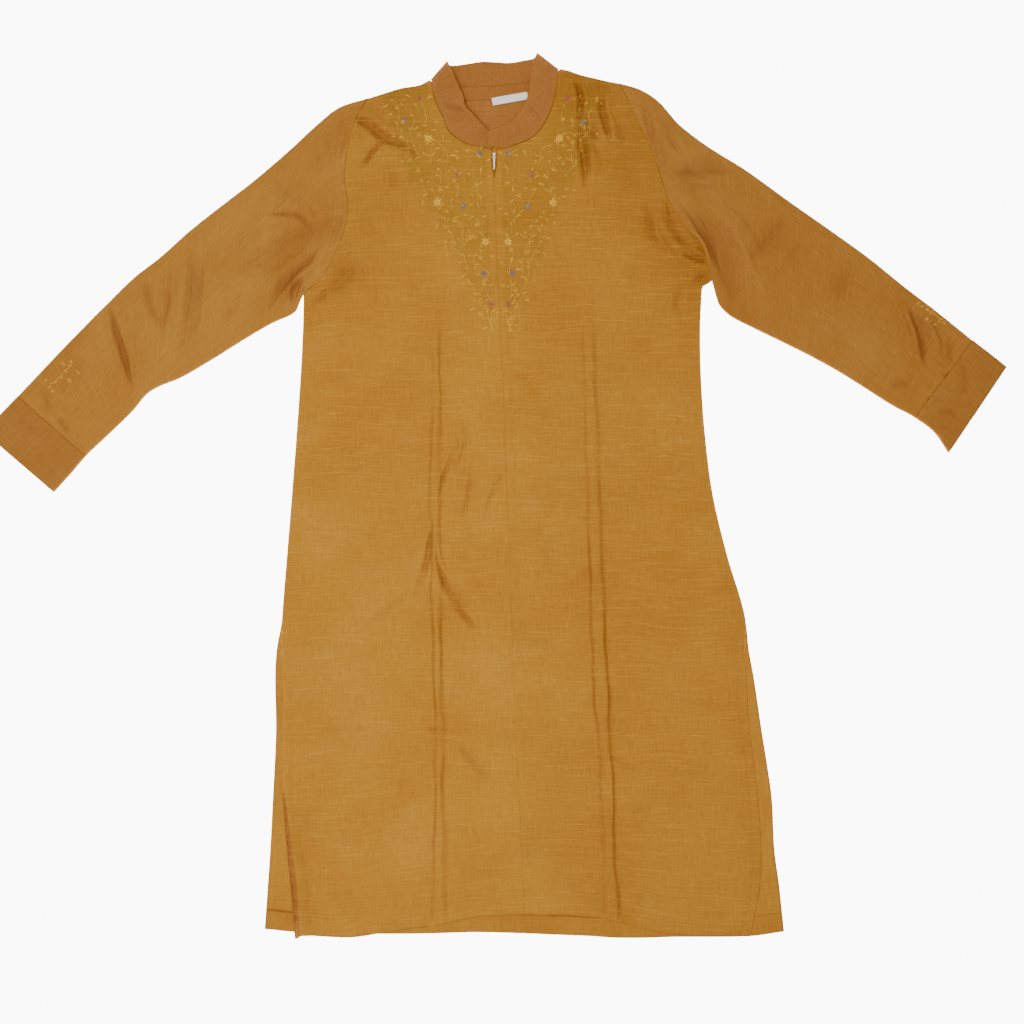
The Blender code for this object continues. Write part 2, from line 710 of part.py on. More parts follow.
def zip_tape_rows(side):
    rows = []
    for i in range(13):
        y = mix(ZIP_BOTTOM, ZIP_TOP, i / 12)
        x = read(CENTRES, "y", "x", y)
        inner = x + side * SEAM_GAP
        outer = inner + side * ZIP_TAPE_WIDTH
        rows.append([Vector((mix(inner, outer, k / 2), y, ZIP_TAPE_MID)) for k in range(3)])
    return rows


def finish_for(name, colour, roughness, metallic=0.0):
    material = bpy.data.materials.new(name)
    material.use_nodes = True
    shader = material.node_tree.nodes["Principled BSDF"]
    shader.inputs["Base Color"].default_value = (*colour, 1.0)
    shader.inputs["Roughness"].default_value = roughness
    shader.inputs["Metallic"].default_value = metallic
    return material


def place(name, mesh, material, collection):
    made = bpy.data.objects.new(name, mesh)
    mesh.materials.append(material)
    collection.objects.link(made)
    return made


def cloth_piece(name, rows, wall, finish, collection, tube=False):
    """An open surface through rows of points, given its wall by Solidify. A tube's rows close."""
    shape = bmesh.new()
    grid = [[shape.verts.new(point * MM) for point in row] for row in rows]
    for a, b in zip(grid, grid[1:]):
        for i in range(len(a) if tube else len(a) - 1):
            j = (i + 1) % len(a)
            shape.faces.new((a[i], a[j], b[j], b[i]))
    bmesh.ops.recalc_face_normals(shape, faces=shape.faces)
    mesh = bpy.data.meshes.new(name)
    shape.to_mesh(mesh)
    shape.free()
    mesh.shade_smooth()
    piece = place(name, mesh, finish_for(name, *finish), collection)
    wall_maker = piece.modifiers.new("wall", "SOLIDIFY")
    wall_maker.thickness = wall * MM
    wall_maker.offset = 0.0
    return piece


def box_at(shape, size, centre):
    made = bmesh.ops.create_cube(shape, size=1.0)
    bmesh.ops.scale(shape, verts=made["verts"], vec=Vector(size) * MM)
    bmesh.ops.translate(shape, verts=made["verts"], vec=Vector(centre) * MM)


def rod_at(shape, radius, length, centre, sides=12):
    """A cylinder along X."""
    made = bmesh.ops.create_cone(
        shape,
        cap_ends=True,
        segments=sides,
        radius1=radius * MM,
        radius2=radius * MM,
        depth=length * MM,
    )
    turn = Vector((0, 0, 1)).rotation_difference(Vector((1, 0, 0))).to_matrix()
    bmesh.ops.rotate(shape, verts=made["verts"], matrix=turn)
    bmesh.ops.translate(shape, verts=made["verts"], vec=Vector(centre) * MM)


def hard_shape(name, build, material, collection, hidden=False):
    shape = bmesh.new()
    build(shape)
    mesh = bpy.data.meshes.new(name)
    shape.to_mesh(mesh)
    shape.free()
    made = place(name, mesh, material, collection)
    if hidden:
        made.hide_render = True
        made.display_type = "WIRE"
    return made


def combine(target, other, operation):
    step = target.modifiers.new(other.name, "BOOLEAN")
    step.operation = operation
    step.object = other


def make_slider(material, collection, helpers):
    slider = hard_shape(
        "zip_slider",
        lambda shape: box_at(shape, SLIDER_SIZE, (SLIDER_X, PIN_Y - 1.5, SLIDER_MID)),
        material,
        collection,
    )
    lug_z = PIN_Z - 0.5
    for side in (-1, 1):
        centre = (SLIDER_X + side * LUG_OUT, PIN_Y, lug_z)
        lug = hard_shape(
            f"slider_lug_{side_name(side)}",
            lambda shape, at=centre: box_at(shape, LUG_SIZE, at),
            material,
            helpers,
            hidden=True,
        )
        combine(slider, lug, "UNION")
    pin = hard_shape(
        "slider_pin",
        lambda shape: rod_at(shape, PIN_RADIUS, 2 * LUG_OUT, (SLIDER_X, PIN_Y, PIN_Z)),
        material,
        helpers,
        hidden=True,
    )
    combine(slider, pin, "UNION")
    return slider


def make_pull(material, collection, helpers):
    """A slim tab with an eye at its upper end, made round the pin's centre and then placed."""
    length = PULL_LENGTH - EYE_RADIUS

    def tab(shape):
        box_at(shape, (PULL_WIDTH, length, PULL_THICK), (0, -length / 2 - 1.2, 0))
        for vertex in shape.verts:
            if vertex.co.y < -length * MM / 2:
                vertex.co.x *= 0.8

    pull = hard_shape("zip_pull", tab, material, collection)
    eye = hard_shape(
        "pull_eye",
        lambda shape: rod_at(shape, EYE_RADIUS, PULL_WIDTH, (0, 0, 0), 16),
        material,
        helpers,
        hidden=True,
    )
    hole = hard_shape(
        "pull_hole",
        lambda shape: rod_at(shape, EYE_HOLE, PULL_WIDTH * 2, (0, 0, 0), 16),
        material,
        helpers,
        hidden=True,
    )
    combine(pull, eye, "UNION")
    combine(pull, hole, "DIFFERENCE")
    hinge = bpy.data.objects.new("pull_hinge", None)
    hinge.location = Vector((SLIDER_X, PIN_Y, PIN_Z)) * MM
    collection.objects.link(hinge)
    for piece in (pull, eye, hole):
        piece.parent = hinge
    return pull


def clear_scene():
    for old in list(bpy.data.objects):
        bpy.data.objects.remove(old)


def main():
    clear_scene()
    garment = bpy.data.collections.new("kurta_tunic")
    helpers = bpy.data.collections.new("cutters")
    bpy.context.scene.collection.children.link(garment)
    bpy.context.scene.collection.children.link(helpers)
    mustard = ((0.45, 0.21, 0.045), 0.85)
    darker = ((0.40, 0.18, 0.04), 0.85)
    cloth_piece("back_panel", back_rows(), CLOTH, mustard, garment)
    for side in (-1, 1):
        name = side_name(side)
        cloth_piece("front_" + name, front_rows(side), CLOTH, mustard, garment)
        cloth_piece("sleeve_" + name, sleeve_rows(side), CLOTH, mustard, garment, tube=True)
        cloth_piece("cuff_" + name, cuff_rows(side), DOUBLE, mustard, garment, tube=True)
        cloth_piece("zip_tape_" + name, zip_tape_rows(side), TAPE, darker, garment)
    cloth_piece("collar_band", collar_rows(), DOUBLE, darker, garment)
    cloth_piece("neck_tape", tape_rows(), TAPE, darker, garment)
    cloth_piece("neck_label", label_rows(), TAPE, ((0.8, 0.8, 0.8), 0.6), garment)
    metal = finish_for("zip_metal", (0.75, 0.75, 0.74), 0.3, 1.0)
    make_slider(metal, garment, helpers)
    make_pull(metal, garment, helpers)


main()
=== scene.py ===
import math
import random

import bpy
import numpy as np
from mathutils import Matrix, Vector, noise
from mathutils.bvhtree import BVHTree


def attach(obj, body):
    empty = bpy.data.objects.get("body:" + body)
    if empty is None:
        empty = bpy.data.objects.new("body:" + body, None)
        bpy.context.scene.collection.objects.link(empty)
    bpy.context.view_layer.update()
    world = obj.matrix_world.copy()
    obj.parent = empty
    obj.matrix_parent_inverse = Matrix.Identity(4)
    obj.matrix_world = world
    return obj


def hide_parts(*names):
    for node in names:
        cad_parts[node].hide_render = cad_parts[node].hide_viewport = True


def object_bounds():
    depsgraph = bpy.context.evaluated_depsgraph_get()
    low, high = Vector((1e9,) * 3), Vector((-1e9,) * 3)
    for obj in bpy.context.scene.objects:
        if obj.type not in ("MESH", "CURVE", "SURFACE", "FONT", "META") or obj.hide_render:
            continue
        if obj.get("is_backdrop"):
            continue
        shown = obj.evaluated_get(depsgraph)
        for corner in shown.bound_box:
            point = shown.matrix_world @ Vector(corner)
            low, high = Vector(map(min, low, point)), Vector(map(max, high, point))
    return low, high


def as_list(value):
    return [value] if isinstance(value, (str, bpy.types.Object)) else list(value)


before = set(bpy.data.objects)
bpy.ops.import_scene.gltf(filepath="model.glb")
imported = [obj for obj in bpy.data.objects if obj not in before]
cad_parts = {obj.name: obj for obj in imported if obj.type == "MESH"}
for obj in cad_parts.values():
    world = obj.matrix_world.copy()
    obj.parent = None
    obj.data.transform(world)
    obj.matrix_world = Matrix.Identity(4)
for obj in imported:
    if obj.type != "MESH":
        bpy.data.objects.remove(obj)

cadLow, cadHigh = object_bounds()
print("frame loaded:", len(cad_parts), "nodes")

mm = 0.001  # the tables below are in millimetres, like the pattern


# soft steps and curves

def softStep(share):
    share = np.clip(share, 0.0, 1.0)
    return share * share * (3 - 2 * share)


def bump(distance, reach):
    share = np.clip(np.abs(distance) / reach, 0.0, 1.0)
    return (1 - share * share) ** 2


def mixed(a, b, share):
    return a + (b - a) * share


def curveAt(keys, values, at):
    # a smooth curve through the values at their keys, read between them
    keys = np.asarray(keys, float)
    values = np.asarray(values, float)
    at = np.clip(np.asarray(at, float), keys[0], keys[-1])
    i = np.clip(np.searchsorted(keys, at) - 1, 0, len(keys) - 2)
    before = np.maximum(i - 1, 0)
    after = np.minimum(i + 2, len(keys) - 1)
    span = keys[i + 1] - keys[i]
    t = (at - keys[i]) / span
    slopeIn = span / (keys[i + 1] - keys[before])
    slopeOut = span / (keys[after] - keys[i])
    if values.ndim > 1:
        t, slopeIn, slopeOut = t[..., None], slopeIn[..., None], slopeOut[..., None]
    return (
        values[i] * (2 * t**3 - 3 * t**2 + 1)
        + (values[i + 1] - values[before]) * slopeIn * (t**3 - 2 * t**2 + t)
        + values[i + 1] * (3 * t**2 - 2 * t**3)
        + (values[after] - values[i]) * slopeOut * (t**3 - t**2)
    )


def lengthsOf(points):
    steps = np.linalg.norm(np.diff(points, axis=0), axis=1)
    return np.concatenate(([0.0], np.cumsum(steps)))


def along(points, share):
    points = np.asarray(points, float)
    lengths = lengthsOf(points)
    return curveAt(lengths, points, np.asarray(share, float) * lengths[-1])


def joined(curves, share):
    # curves that meet in corners, read as one edge
    ends = np.cumsum([0.0] + [lengthsOf(np.array(curve))[-1] for curve in curves])
    ends = ends / ends[-1]
    points = np.zeros(np.shape(share) + (2,))
    for k, curve in enumerate(curves):
        inside = (share >= ends[k] - 1e-9) & (share <= ends[k + 1] + 1e-9)
        local = np.clip((share - ends[k]) / (ends[k + 1] - ends[k]), 0, 1)
        points = np.where(inside[..., None], along(curve, local), points)
    return points, ends


# the cut of the tunic, as it lies

cut = {
    # height, back's left edge, front's left edge, front's right edge, back's right edge
    "levels": [
        (-528, -309, -271, 297, 340), (-469, -305, -276, 309, 334), (-422, -302, -281, 311, 328),
        (-360, -299, -285.5, 307, 325), (-322, -297, -286.5, 303, 320), (-272, -295, -286.5, 297, 312),
        (-205, -296, -286, 292, 302), (-172, -294, -288, 291, 296), (-131, -287, -287, 291, 291),
        (-55, -281, -281, 269, 269), (20, -275, -275, 251, 251), (97, -269, -269, 241, 241),
        (170, -264, -264, 236, 236), (230, -261, -261, 235, 235), (276, -260, -260, 237, 237),
    ],
    # across, the back's hem, the front's hem
    "hems": [
        (-309, -521, -527), (-266, -525, -528), (-202, -527, -531), (-165, -527, -526),
        (-122, -527, -520), (-82, -526, -514), (-45, -525, -506), (0, -526, -502),
        (50, -528, -502), (100, -530, -505), (128, -532, -511), (168, -532, -520),
        (200, -531, -527), (297, -530, -530), (340, -524, -528),
    ],
    "hemFade": 0.28,
    "armhole": {
        -1: [(-260, 276), (-240, 289), (-220, 325), (-209, 355), (-205, 384),
             (-209, 418), (-206, 450), (-196, 488), (-181, 516)],
        1: [(250, 289), (238, 334), (215, 360), (196, 390), (183, 427),
            (173, 455), (159, 484), (146, 513), (134, 535)],
    },
    "shoulder": {
        -1: [(-181, 516), (-165, 521), (-139, 529), (-116, 533), (-103, 539)],
        1: [(134, 535), (119, 538), (85, 546), (71, 551), (60, 553)],
    },
    # height and place of the centre front
    "centre": [(-505, 15), (-385, 10), (-260, 4), (-4, -4.5), (115, -9), (209, -12.5),
               (303, -17.5), (390, -21), (452, -22.5)],
    "neckGap": 0.6,
}

collar = {
    # where the band stands on the neck, and its free edge, from the right end round to the left
    "stands": [
        (-30, 457.5, 6.0, -30, 474, 8.4), (-11, 453.5, 5.6, -14, 479.5, 9.2),
        (3, 458, 5.4, -1, 485.5, 10), (25, 467.5, 5.2, 9, 496, 11),
        (39, 483, 5.2, 15.5, 506, 12), (49, 504, 5.2, 22, 525.5, 12.5),
        (54.5, 525.5, 5.4, 23.5, 545, 12.5), (56.3, 546, 5.3, 28, 563, 12),
        (58, 552, 3.1, 31, 571.5, 6.6), (54, 549.5, 1.25, 27, 566.5, 1.6),
        (30, 537, 0.95, 15, 564, 0.95), (0, 531, 0.9, -5, 561, 0.9),
        (-35, 528.5, 0.9, -36, 562.5, 0.9), (-65, 529.5, 0.95, -60, 559, 0.95),
        (-97, 537, 1.25, -76.5, 557.5, 1.6), (-101, 539, 3.1, -80.5, 561.5, 6.6),
        (-99.2, 534.5, 5.2, -76, 551.5, 12), (-97.5, 521.5, 5.4, -67, 531, 12.5),
        (-91.5, 504, 5.2, -60.5, 516.5, 12.5), (-86, 494, 5.2, -57.5, 504, 12),
        (-78.5, 476, 5.0, -48.5, 495, 10.5), (-59, 461, 4.6, -38.5, 484, 9),
        (-40, 456, 4.0, -31, 477, 6.2), (-24, 454, 3.4, -24, 469, 5.2),
    ],
    "rightFold": 8,  # rows where the band turns under
    "leftFold": 15,
    "wall": 1.5,
}


def sideName(side):
    return "Left" if side < 0 else "Right"


def panelEdge(side, layer, y):
    levels = np.array(cut["levels"], float)
    column = {("back", -1): 1, ("front", -1): 2, ("front", 1): 3, ("back", 1): 4}[layer, side]
    return curveAt(levels[:, 0], levels[:, column], y)


def outerEdge(side, layer, v):
    # v is 0 at the hem, 1 at the armpit and 2 at the shoulder
    armhole = np.array(cut["armhole"][side], float)
    y = mixed(cut["levels"][0][0], armhole[0, 1], np.minimum(v, 1.0))
    x = panelEdge(side, layer, y)
    x = mixed(x, armhole[0, 0], softStep((y - armhole[0, 1] + 9) / 9))
    upper = along(armhole, np.clip(v - 1, 0, 1))
    return np.where((v > 1)[..., None], upper, np.stack([x, y], -1))


zipFront = {
    "bottom": -9, "top": 449,
    "slitHalf": 3.3, "slitOpen": 436, "slitShut": 414,  # half the gap that shows the slider
    "seamHalf": 0.03,
}


neckHeight = cut["centre"][-1][0]


def zipLine(y):
    centre = np.array(cut["centre"], float)
    return curveAt(centre[:, 0], centre[:, 1], y)


def centreEdge(side, v):
    low = cut["levels"][0][0]
    armpit = cut["armhole"][side][0][1]
    y = np.where(v <= 1, mixed(low, armpit, v), mixed(armpit, cut["centre"][-1][0], v - 1))
    opened = softStep((y - zipFront["slitShut"]) / (zipFront["slitOpen"] - zipFront["slitShut"]))
    gap = mixed(zipFront["seamHalf"], zipFront["slitHalf"], opened)
    return np.stack([zipLine(y) + side * gap, y], -1)


def collarSeam(first, last, gap):
    step = 1 if last > first else -1
    seam = np.array([collar["stands"][i][:2] for i in range(first, last + step, step)], float)
    direction = np.gradient(seam, axis=0)
    sideways = np.stack([-direction[:, 1], direction[:, 0]], -1)
    sideways /= np.linalg.norm(sideways, axis=1)[:, None]
    return seam + sideways * gap


def frontTop(side):
    if side < 0:
        seam = collarSeam(collar["leftFold"] + 1, len(collar["stands"]) - 2, -cut["neckGap"])
    else:
        seam = collarSeam(collar["rightFold"] - 1, 1, cut["neckGap"])
    centre = centreEdge(side, np.array(2.0))
    seam = [tuple(point) for point in seam if (point[0] - centre[0]) * side > 4]
    shoulder = cut["shoulder"][side]
    return [shoulder, [shoulder[-1], *seam, tuple(centre)]]


def backTop():
    seam = collarSeam(collar["leftFold"] - 1, collar["rightFold"] + 1, -cut["neckGap"])
    left = cut["shoulder"][-1]
    right = cut["shoulder"][1][::-1]
    return [left, [left[-1], *[tuple(point) for point in seam], right[0]], right]


def hemShift(layer, x):
    hems = np.array(cut["hems"], float)
    return curveAt(hems[:, 0], hems[:, 1 if layer == "back" else 2], x) - cut["levels"][0][0]


# creases listed one by one: the line, half the width, the rise, and for some how far it leans aside

handCreases = {
    "frontLeft": [
        ([(-216, 508), (-186, 486), (-156, 464), (-124, 452)], 7, -3.2, 0.3),  # drags from the shoulder
        ([(-196, 513), (-152, 499), (-116, 476)], 12, 1.4),
        ([(-165, 468), (-147, 464), (-128, 455), (-113, 434)], 8, -1.6, 0.2),
        ([(-152, 470), (-168, 456), (-182, 438), (-192, 424)], 4, -1.4),
        ([(-160, 440), (-150, 420), (-148, 396)], 12, -0.8),
        ([(-150, 488), (-128, 482), (-112, 470)], 6, 0.7),
        ([(-206, 345), (-222, 316), (-236, 288)], 18, 1.4, 0.2),
        ([(-236, 270), (-214, 288), (-190, 312)], 12, -1.8),
        ([(-252, 264), (-240, 268), (-228, 280)], 6, -1.6),
        ([(-200, 330), (-178, 342), (-150, 346)], 15, 0.7),
        ([(-99, -4), (-103, -38), (-110, -72), (-120, -100), (-134, -122)], 4.4, -1.9, 0.2),  # a fork
        ([(-108, -84), (-134, -106), (-162, -126), (-190, -156)], 7, -0.8),
        ([(-95, -34), (-90, -70), (-74, -106), (-52, -138), (-30, -156)], 4.6, -2.0, -0.2),
        ([(-80, -84), (-60, -118), (-34, -140)], 9, 0.9),
        ([(-50, 62), (-53, 34), (-57, 10), (-64, -18)], 3.4, -0.9),
        ([(-10, 66), (-18, 38), (-30, 10), (-36, -12)], 3.6, -0.8),
        ([(-62, 100), (-72, 76), (-84, 48), (-92, 12)], 4, -1.1, 0.2),
        ([(-54, 96), (-64, 74), (-74, 48), (-80, 24)], 3.2, -0.7),
        ([(-58, 126), (-60, 96), (-58, 62)], 3, -0.6),
        ([(-58, 88), (-62, 60), (-66, 30)], 8, 0.7),
        ([(-252, -270), (-210, -274), (-165, -272)], 9, -0.7),
        ([(-112, -266), (-96, -273), (-74, -270)], 4, -1.0),
        ([(-84, -282), (-62, -296), (-40, -322), (-19, -339)], 8, -1.1),
        ([(-20, -296), (-4, -318), (-2, -350), (-14, -372)], 12, 0.8),
        ([(-262, 180), (-226, 168), (-196, 172)], 12, -0.5),
        ([(-262, 60), (-220, 66), (-184, 58)], 14, 0.5),
        ([(-276, -160), (-250, -166), (-222, -160)], 10, -0.6),
        ([(-262, -420), (-200, -430), (-140, -424)], 16, 0.6),
        ([(-60, -440), (-30, -452), (0, -448)], 14, -0.5),
        ([(-130, 300), (-118, 268), (-112, 230)], 12, -0.6),
    ],
    "frontRight": [
        ([(82, 494), (86, 462), (90, 436), (92, 396)], 8, -1.8, 0.2),
        ([(96, 470), (98, 446), (104, 412)], 10, 1.0),
        ([(70, 548), (82, 532), (86, 508), (82, 480)], 5, -2.4),
        ([(92, 500), (98, 478), (112, 462)], 7, -1.2),
        ([(116, 532), (112, 506), (118, 480), (126, 452)], 6, -1.7),
        ([(130, 500), (136, 476), (140, 450)], 9, -0.8),
        ([(174, 392), (182, 345), (201, 317), (221, 277)], 11, 1.2),
        ([(166, 396), (172, 352), (184, 322)], 9, -1.0),
        ([(190, 400), (206, 350), (234, 318)], 12, -1.5, 0.2),
        ([(208, 324), (228, 317), (247, 312)], 5, -2.6, 0.3),
        ([(206, 312), (224, 300), (240, 290)], 8, 0.8),
        ([(250, 298), (238, 290), (222, 286)], 8, -1.8),
        ([(214, 290), (206, 262), (212, 236)], 8, -0.9),
        ([(158, 330), (150, 290), (154, 250)], 16, -0.6),
        ([(-2, 171), (10, 169), (26, 171)], 5, -0.9),
        ([(104, 40), (130, 22), (158, 20)], 12, -0.5),
        ([(100, -60), (84, -84), (62, -96)], 9, -0.6),
        ([(230, 60), (200, 52), (176, 60)], 14, 0.5),
        ([(256, -60), (226, -72), (196, -66)], 12, -0.5),
        ([(30, -160), (60, -170), (92, -164)], 13, 0.6),
        ([(288, -230), (260, -240), (226, -236)], 12, -0.6),
        ([(150, -330), (190, -340), (232, -330)], 16, 0.6),
        ([(124, -300), (140, -318), (166, -322)], 8, -0.7),
        ([(20, -400), (60, -412), (104, -404)], 14, -0.5),
        ([(300, -440), (270, -452), (236, -446)], 12, 0.6),
    ],
    "sleeveLeft": [
        ([(-203, 366), (-275, 336), (-326, 309), (-364, 303)], 21, -2.0, 0.3),  # the long trough
        ([(-207, 372), (-222, 358), (-236, 350)], 13, -1.6),
        ([(-210, 396), (-268, 376), (-318, 352)], 20, 1.1),
        ([(-314, 372), (-268, 370), (-254, 356), (-249, 341)], 7, -1.2, 0.2),
        ([(-240, 338), (-254, 312), (-278, 292), (-306, 254)], 8, -2.2, -0.2),
        ([(-250, 318), (-266, 296), (-292, 262)], 8, 1.3),
        ([(-258, 292), (-270, 280), (-275, 254)], 5, -3.4, 0.2),
        ([(-284, 276), (-300, 254), (-330, 236)], 7, 1.5),
        ([(-292, 266), (-312, 246), (-342, 226)], 4.5, -1.2),
        ([(-404, 340), (-398, 300), (-400, 250), (-408, 214), (-420, 180)], 15, -1.7, 0.3),
        ([(-384, 330), (-384, 262), (-398, 196)], 10, 0.9),
        ([(-458, 294), (-452, 262), (-438, 232)], 9, -1.4),
        ([(-426, 316), (-428, 276), (-436, 236), (-434, 204)], 12, -1.3),
        ([(-483, 278), (-474, 246), (-463, 220)], 8, 0.8),
        ([(-430, 300), (-424, 262), (-432, 226)], 9, 0.8),
        ([(-507, 268), (-500, 244), (-491, 214), (-483, 186), (-472, 150)], 4.4, -3.4, 0.35),
        ([(-489, 262), (-480, 236), (-472, 200), (-462, 168)], 11, 0.9),
        ([(-516, 244), (-510, 214), (-501, 182)], 10, 0.6),
        ([(-214, 498), (-208, 470), (-214, 440)], 9, -1.0),
        ([(-236, 470), (-230, 440), (-238, 414)], 12, 0.9),
        ([(-206, 480), (-200, 462), (-204, 446)], 5, -0.8),
        ([(-330, 280), (-350, 256), (-356, 232)], 12, -0.8),
        ([(-300, 420), (-286, 404), (-284, 384)], 12, -0.7),
        ([(-528, 200), (-540, 180), (-536, 158)], 12, -0.7),
        ([(-560, 190), (-566, 166), (-556, 140)], 12, 0.8),
        ([(-590, 160), (-580, 138), (-584, 118)], 8, -0.8),
        ([(-548, 96), (-560, 108), (-566, 122)], 7, -0.8),
    ],
    "sleeveRight": [
        ([(205, 388), (224, 356), (243, 325), (252, 297)], 13, 2.4, -0.3),  # lies over the seam
        ([(221, 385), (255, 340), (268, 295), (283, 256)], 17, -2.4, 0.2),
        ([(238, 396), (276, 352), (300, 300)], 16, 1.2),
        ([(194, 416), (225, 428), (255, 430), (284, 420)], 15, -1.8, 0.2),
        ([(196, 396), (226, 410), (262, 408)], 10, 1.3),
        ([(175, 500), (181, 468), (190, 402)], 8, 1.3),
        ([(162, 520), (168, 490), (176, 452)], 6, -1.4, 0.2),
        ([(192, 500), (198, 470), (212, 440)], 8, -1.0),
        ([(180, 520), (190, 510), (204, 500)], 6, -0.8),
        ([(352, 374), (322, 344), (298, 312)], 17, -1.3),
        ([(372, 356), (346, 330), (326, 296)], 14, 0.8),
        ([(430, 320), (414, 290), (404, 256)], 16, -0.7),
        ([(330, 300), (352, 270), (362, 236)], 16, 0.7),
        ([(492, 264), (508, 226), (515, 176)], 8, -2.2, 0.3),
        ([(478, 262), (492, 226), (498, 190)], 11, 1.2),
        ([(508, 252), (530, 214), (527, 176)], 9, 1.3),
        ([(534, 172), (550, 168), (556, 158)], 6, -1.5),
        ([(516, 144), (528, 136), (540, 138)], 7, -1.4),
        ([(508, 134), (520, 124), (532, 128)], 6, 1.0),
        ([(470, 150), (484, 160), (500, 158)], 8, -0.9),
        ([(262, 262), (276, 270), (284, 288)], 8, -0.9),
        ([(552, 220), (546, 200), (552, 182)], 8, -0.9),
    ],
    "cuffLeft": [
        ([(-620, 120), (-600, 104), (-588, 96)], 10, -0.5),
        ([(-640, 98), (-622, 86), (-600, 60)], 12, 0.4),
    ],
    "cuffRight": [
        ([(560, 190), (566, 160), (556, 140)], 10, -0.6),
        ([(590, 170), (580, 140), (566, 116)], 10, 0.5),
        ([(530, 120), (546, 126), (556, 118)], 7, -0.8),
    ],
}


crease = {
    "sharp": 0.7, "mid": 0.65, "wide": 0.3, "lip": 0.55,  # the form of a crease, from its line outwards
    # the shades below are painted shade in troughs, along their lines and on ridge flanks
    "shade": 0.045, "lineShade": 0.06, "flankShade": 0.03,  # how much darker for each millimetre of rise
    "fade": 2.6, "parts": 13,
}


def creaseHeight(piece, xy):
    # the height of the listed creases, and how much painted shade the cloth gets in them
    total = np.zeros(xy.shape[:-1])
    shade = np.zeros(xy.shape[:-1])
    for line, reach, rise, *aside in handCreases.get(piece, []):
        lean = aside[0] if aside else 0.0
        points = along(line, np.linspace(0, 1, crease["parts"] + 1))
        low = points.min(0) - reach * 2.6
        high = points.max(0) + reach * 2.6
        near = np.all((xy > low) & (xy < high), axis=-1)
        if not near.any():
            continue
        here = xy[near]
        best = np.full(len(here), 1e9)
        place = np.zeros(len(here))
        turned = np.zeros(len(here))
        for k, (a, b) in enumerate(zip(points, points[1:])):
            step = b - a
            share = np.clip(((here - a) @ step) / (step @ step), 0, 1)
            offset = here - a - share[:, None] * step
            distance = np.linalg.norm(offset, axis=1)
            closer = distance < best
            best = np.where(closer, distance, best)
            place = np.where(closer, (k + share) / crease["parts"], place)
            turned = np.where(closer, np.sign(step[0] * offset[:, 1] - step[1] * offset[:, 0]), turned)
        taper = 0.35 + 0.85 * np.sin(math.pi * np.clip(place, 0.02, 0.98)) ** 0.7
        width = reach * (1 + lean * turned) * taper
        width = width * (1 + 0.12 * np.sin(here @ np.array([0.21, 0.17])))
        fade = softStep(place * crease["fade"] + 0.03) * softStep((1 - place) * crease["fade"] + 0.03)
        shape = crease["sharp"] * bump(best, width * 0.42) + crease["mid"] * bump(best, width * 0.8)
        shape = shape + crease["wide"] * bump(best, width * 1.6)
        if rise < 0:
            shape = shape - crease["lip"] * bump(best - width * 1.15, width * 0.75)
            dark = crease["shade"] * min(reach / 10, 2) * bump(best, width * 1.25)
            dark = dark + crease["lineShade"] * bump(best, np.maximum(width * 0.33, 1.6))
        else:
            dark = crease["flankShade"] * bump(best - width * 0.85, width * 0.7)
        total[near] += rise * shape * fade
        shade[near] += abs(rise) * dark * fade
    return total, shade


def unevenness(xy, seed, amount, size):
    # the slow waves of cloth that was packed and shaken out
    flat = xy.reshape(-1, 2)
    found = [
        noise.noise(Vector((x / size, y / (size * 1.4), seed)))
        + 0.5 * noise.noise(Vector((x / (size * 0.45), y / (size * 0.5), seed + 9)))
        for x, y in flat
    ]
    return amount * np.array(found).reshape(xy.shape[:-1])


# meshes

def inScene(name, data):
    made = bpy.data.objects.new(name, data)
    bpy.context.scene.collection.objects.link(made)
    return made


clothPieces = {}
foldShade = {"steep": 3.8, "hollow": 3.0, "reach": 3, "most": 0.6}


def shadeOf(points, top):
    # painted shade: creased cloth is painted a little darker on steep flanks and down in its troughs, where
    # shade falls
    seen = points[:, :top]
    down = np.gradient(seen, axis=0)
    across = np.gradient(seen, axis=1)
    normal = np.cross(down, across)
    length = np.linalg.norm(normal, axis=-1) + 1e-12
    steep = 1 - np.abs(normal[..., 2]) / length
    step = foldShade["reach"]
    z = seen[..., 2]
    padded = np.pad(z, step, mode="edge")
    mean = (
        padded[: -2 * step, step:-step] + padded[2 * step:, step:-step]
        + padded[step:-step, : -2 * step] + padded[step:-step, 2 * step:]
    ) / 4
    spacing = np.linalg.norm(down, axis=-1) * np.linalg.norm(across, axis=-1) * step
    hollow = (mean - z) / (spacing + 1.0)
    shade = steep * foldShade["steep"] + np.clip(hollow, 0, 1) * foldShade["hollow"]
    rim = np.minimum(np.arange(top), np.arange(top)[::-1])
    ends = np.minimum(np.arange(len(z)), np.arange(len(z))[::-1])
    shade = np.clip(shade, 0, foldShade["most"])
    shade = shade * softStep((rim[None, :] - 2) / 3) * softStep((ends[:, None] - 1) / 3)
    full = np.zeros(points.shape[:2])
    full[:, :top] = shade
    return full


